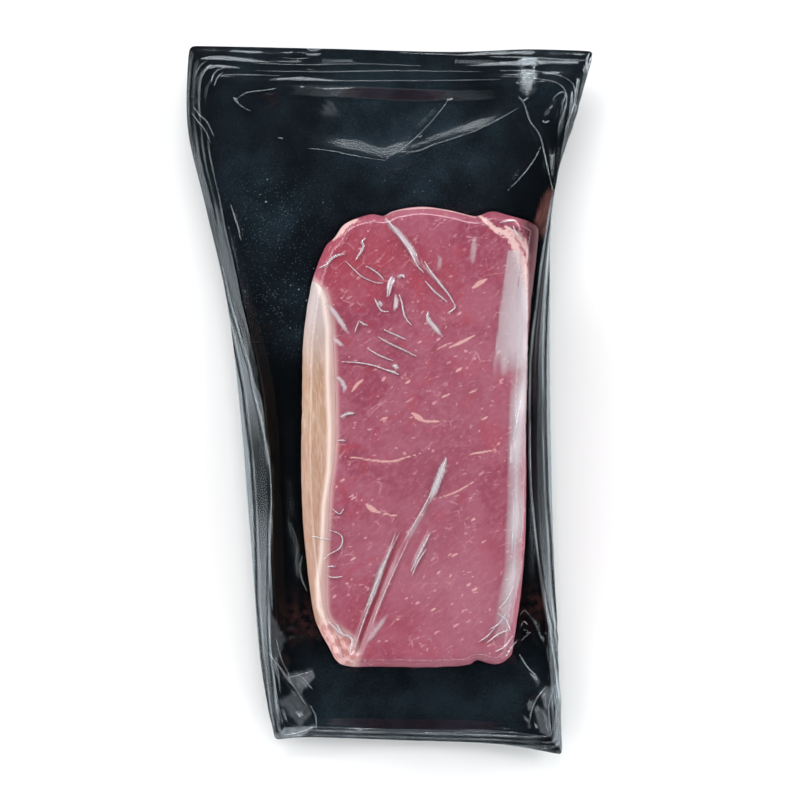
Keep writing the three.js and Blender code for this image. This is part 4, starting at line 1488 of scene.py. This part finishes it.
def black_film_material():
    g = Graph("black formed film")
    cloud = g.step(g.noise(0.06, 3.0), 0.3, 0.7, 0.35, 1.0)
    grit = g.step(g.noise(1.3, 3.0, roughness=0.75), 0.35, 0.7, 0.45, 1.25)
    # Blue-grey patches: dust on the film, and painted sheen of the lamps
    dust_and_sheen_share = g.math("MULTIPLY", g.math("MULTIPLY", g.attribute("dust_and_sheen"), cloud), grit, clamp=True)
    color = g.mix(dust_and_sheen_share, BLACK, DUST_AND_SHEEN_COLOR)
    fine = g.math("MULTIPLY", g.dashes(0, 0.9, 0.9, 0.24, 0.6), 0.35)
    specks = g.math("MAXIMUM", fine, g.dashes(0, 3.4, 3.4, 0.085, 0.5, (4, 1, 0)))
    color = g.mix(g.math("MULTIPLY", specks, g.attribute("grains")), color, SPECK)
    smear = g.step(g.noise(0.3, 4.0), 0.38, 0.62)
    color = g.mix(g.math("MULTIPLY", g.attribute("purge"), smear), color, JUICE)
    streak = g.step(g.noise(0.6, 3.0, g.mapped((1.6, 0.2, 1), -20)), 0.3, 0.7, 0.45, 1.0)
    color = g.mix(g.math("MULTIPLY", g.attribute("fold"), streak), color, FOLD)
    bump = g.bump(g.noise(1.2, 3.0), 0.08, 0.5)
    shader = g.principled(color, 0.28, 0.05, bump)
    return g.surface(shader.outputs[0])


# Stage: the floor's half width in mm, the lamps in metres and watts, and the dome by the sine of height

FLOOR_HALF = 4000
FLOOR_COLOR = (0.87, 0.87, 0.87)
LAMPS = {
    "right_lamp": ((1.0, 0.25, 1.0), (0.3, 0.5), 4),
    "left_lamp": ((-0.9, 0.5, 1.1), (0.5, 0.7), 1),
    "far_lamp": ((-0.25, 1.2, 1.1), (1.3, 0.7), 17),
    "near_lamp": ((0.2, -1.4, 1.0), (0.7, 0.15), 3),
}
DOME_OPENING_SINE = 0.84
DOME_FULL_SINE = 0.6
DOME_SKYLINE_SHARE = 0.2
DOME_OVERHEAD = 0.03
DOME_STRENGTH = 3.1
DOME_ENDS_SHARE = 0.28
DOME_LEAN = (-0.04, 0.15, 0.0)
CAMERA_HEIGHT = 4500
CAMERA_AIM_Z = 26
SENSOR_WIDTH = 36


def floor():
    turns = ((-1, -1), (1, -1), (1, 1), (-1, 1))
    corners = np.array([(x * FLOOR_HALF, y * FLOOR_HALF, 0) for x, y in turns], float)
    made = mesh_object("floor", corners, [[0, 1, 2, 3]])
    g = Graph("pale floor")
    made.data.materials.append(g.surface(g.principled(FLOOR_COLOR, 0.9, 0.0).outputs[0]))


def area_light(name, place, size, power):
    """A rectangular lamp that faces the origin."""
    data = bpy.data.lights.new(name, "AREA")
    data.shape = "RECTANGLE"
    data.size, data.size_y = size
    data.energy = power
    made = bpy.data.objects.new(name, data)
    made.location = place
    made.rotation_mode = "QUATERNION"
    made.rotation_quaternion = (-Vector(place)).to_track_quat("-Z", "Y")
    bpy.context.scene.collection.objects.link(made)


def dome():
    """A pale dome of light with a dark opening overhead, brighter towards both sides and the far end."""
    world = bpy.data.worlds.new("soft studio")
    world.use_nodes = True
    tree = world.node_tree
    direction = tree.nodes.new("ShaderNodeTexCoord").outputs["Generated"]
    split = tree.nodes.new("ShaderNodeSeparateXYZ")
    tree.links.new(direction, split.inputs[0])
    height = split.outputs["Z"]
    low = map_range(tree, height, DOME_OPENING_SINE, DOME_FULL_SINE, DOME_OVERHEAD, DOME_STRENGTH)
    wide = calculate(tree, "ABSOLUTE", split.outputs["X"])
    sides = map_range(tree, wide, 0.3, 0.7, DOME_ENDS_SHARE, 1.0)
    skyline = map_range(tree, height, 0.1, 0.3, DOME_SKYLINE_SHARE, 1.0)
    leaning = tree.nodes.new("ShaderNodeVectorMath")
    leaning.operation = "DOT_PRODUCT"
    tree.links.new(direction, leaning.inputs[0])
    leaning.inputs[1].default_value = DOME_LEAN
    lean = calculate(tree, "ADD", leaning.outputs["Value"], 1.0)
    background = tree.nodes["Background"]
    background.inputs["Color"].default_value = (0.96, 0.985, 1.0, 1)
    strength = calculate(tree, "MULTIPLY", calculate(tree, "MULTIPLY", low, sides), lean)
    strength = calculate(tree, "MULTIPLY", strength, skyline)
    tree.links.new(strength, background.inputs["Strength"])
    bpy.context.scene.world = world


def calculate(tree, operation, a, b=None):
    node = tree.nodes.new("ShaderNodeMath")
    node.operation = operation
    tree.links.new(a, node.inputs[0])
    if isinstance(b, float):
        node.inputs[1].default_value = b
    elif b is not None:
        tree.links.new(b, node.inputs[1])
    return node.outputs[0]


def map_range(tree, value, low, high, to_low, to_high):
    node = tree.nodes.new("ShaderNodeMapRange")
    node.interpolation_type = "SMOOTHSTEP"
    tree.links.new(value, node.inputs["Value"])
    for socket, number in zip(RANGE_SOCKETS, (low, high, to_low, to_high)):
        node.inputs[socket].default_value = number
    return node.outputs["Result"]


def lights():
    for name, (place_of, size, power) in LAMPS.items():
        area_light(name, place_of, size, power)
    dome()


def camera():
    data = bpy.data.cameras.new("camera")
    width = FRAME_PX * MM_PER_PX
    data.sensor_width = SENSOR_WIDTH
    data.lens = data.sensor_width * (CAMERA_HEIGHT - CAMERA_AIM_Z) / width
    data.clip_end = 10
    made = bpy.data.objects.new("camera", data)
    x, y = at(FRAME_PX / 2, FRAME_PX / 2)
    made.location = (x * MM, y * MM, CAMERA_HEIGHT * MM)
    bpy.context.scene.collection.objects.link(made)
    bpy.context.scene.camera = made


def place(made, material, node, slot):
    made.data.materials.clear()
    made.data.materials.append(material)
    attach(made, "root")
    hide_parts(node)


def build():
    clear = clear_film_material()
    crown, foot = make_crown_film()
    skirt = make_skirt_film(foot)
    for film in (crown, skirt):
        place(film, clear, "top_film", "clear_film")
    over_meat = make_creases("crown_creases", CREASES, crown, *CROWN_CREASE_LOOK)
    over_shelf = make_creases("skirt_creases", SKIRT_CREASES, skirt, *SKIRT_CREASE_LOOK)
    for creases in (over_meat, over_shelf):
        place(creases, clear, "top_film", "clear_film")
    place(make_base_film(foot), black_film_material(), "base_film", "black_film")
    lean, fat = make_roast()
    place(lean, lean_material(), "lean_roast", "lean_beef")
    place(fat, fat_material(), "fat_cap", "beef_fat")


build()
floor()
lights()
camera()
bpy.context.scene.view_settings.view_transform = "Standard"
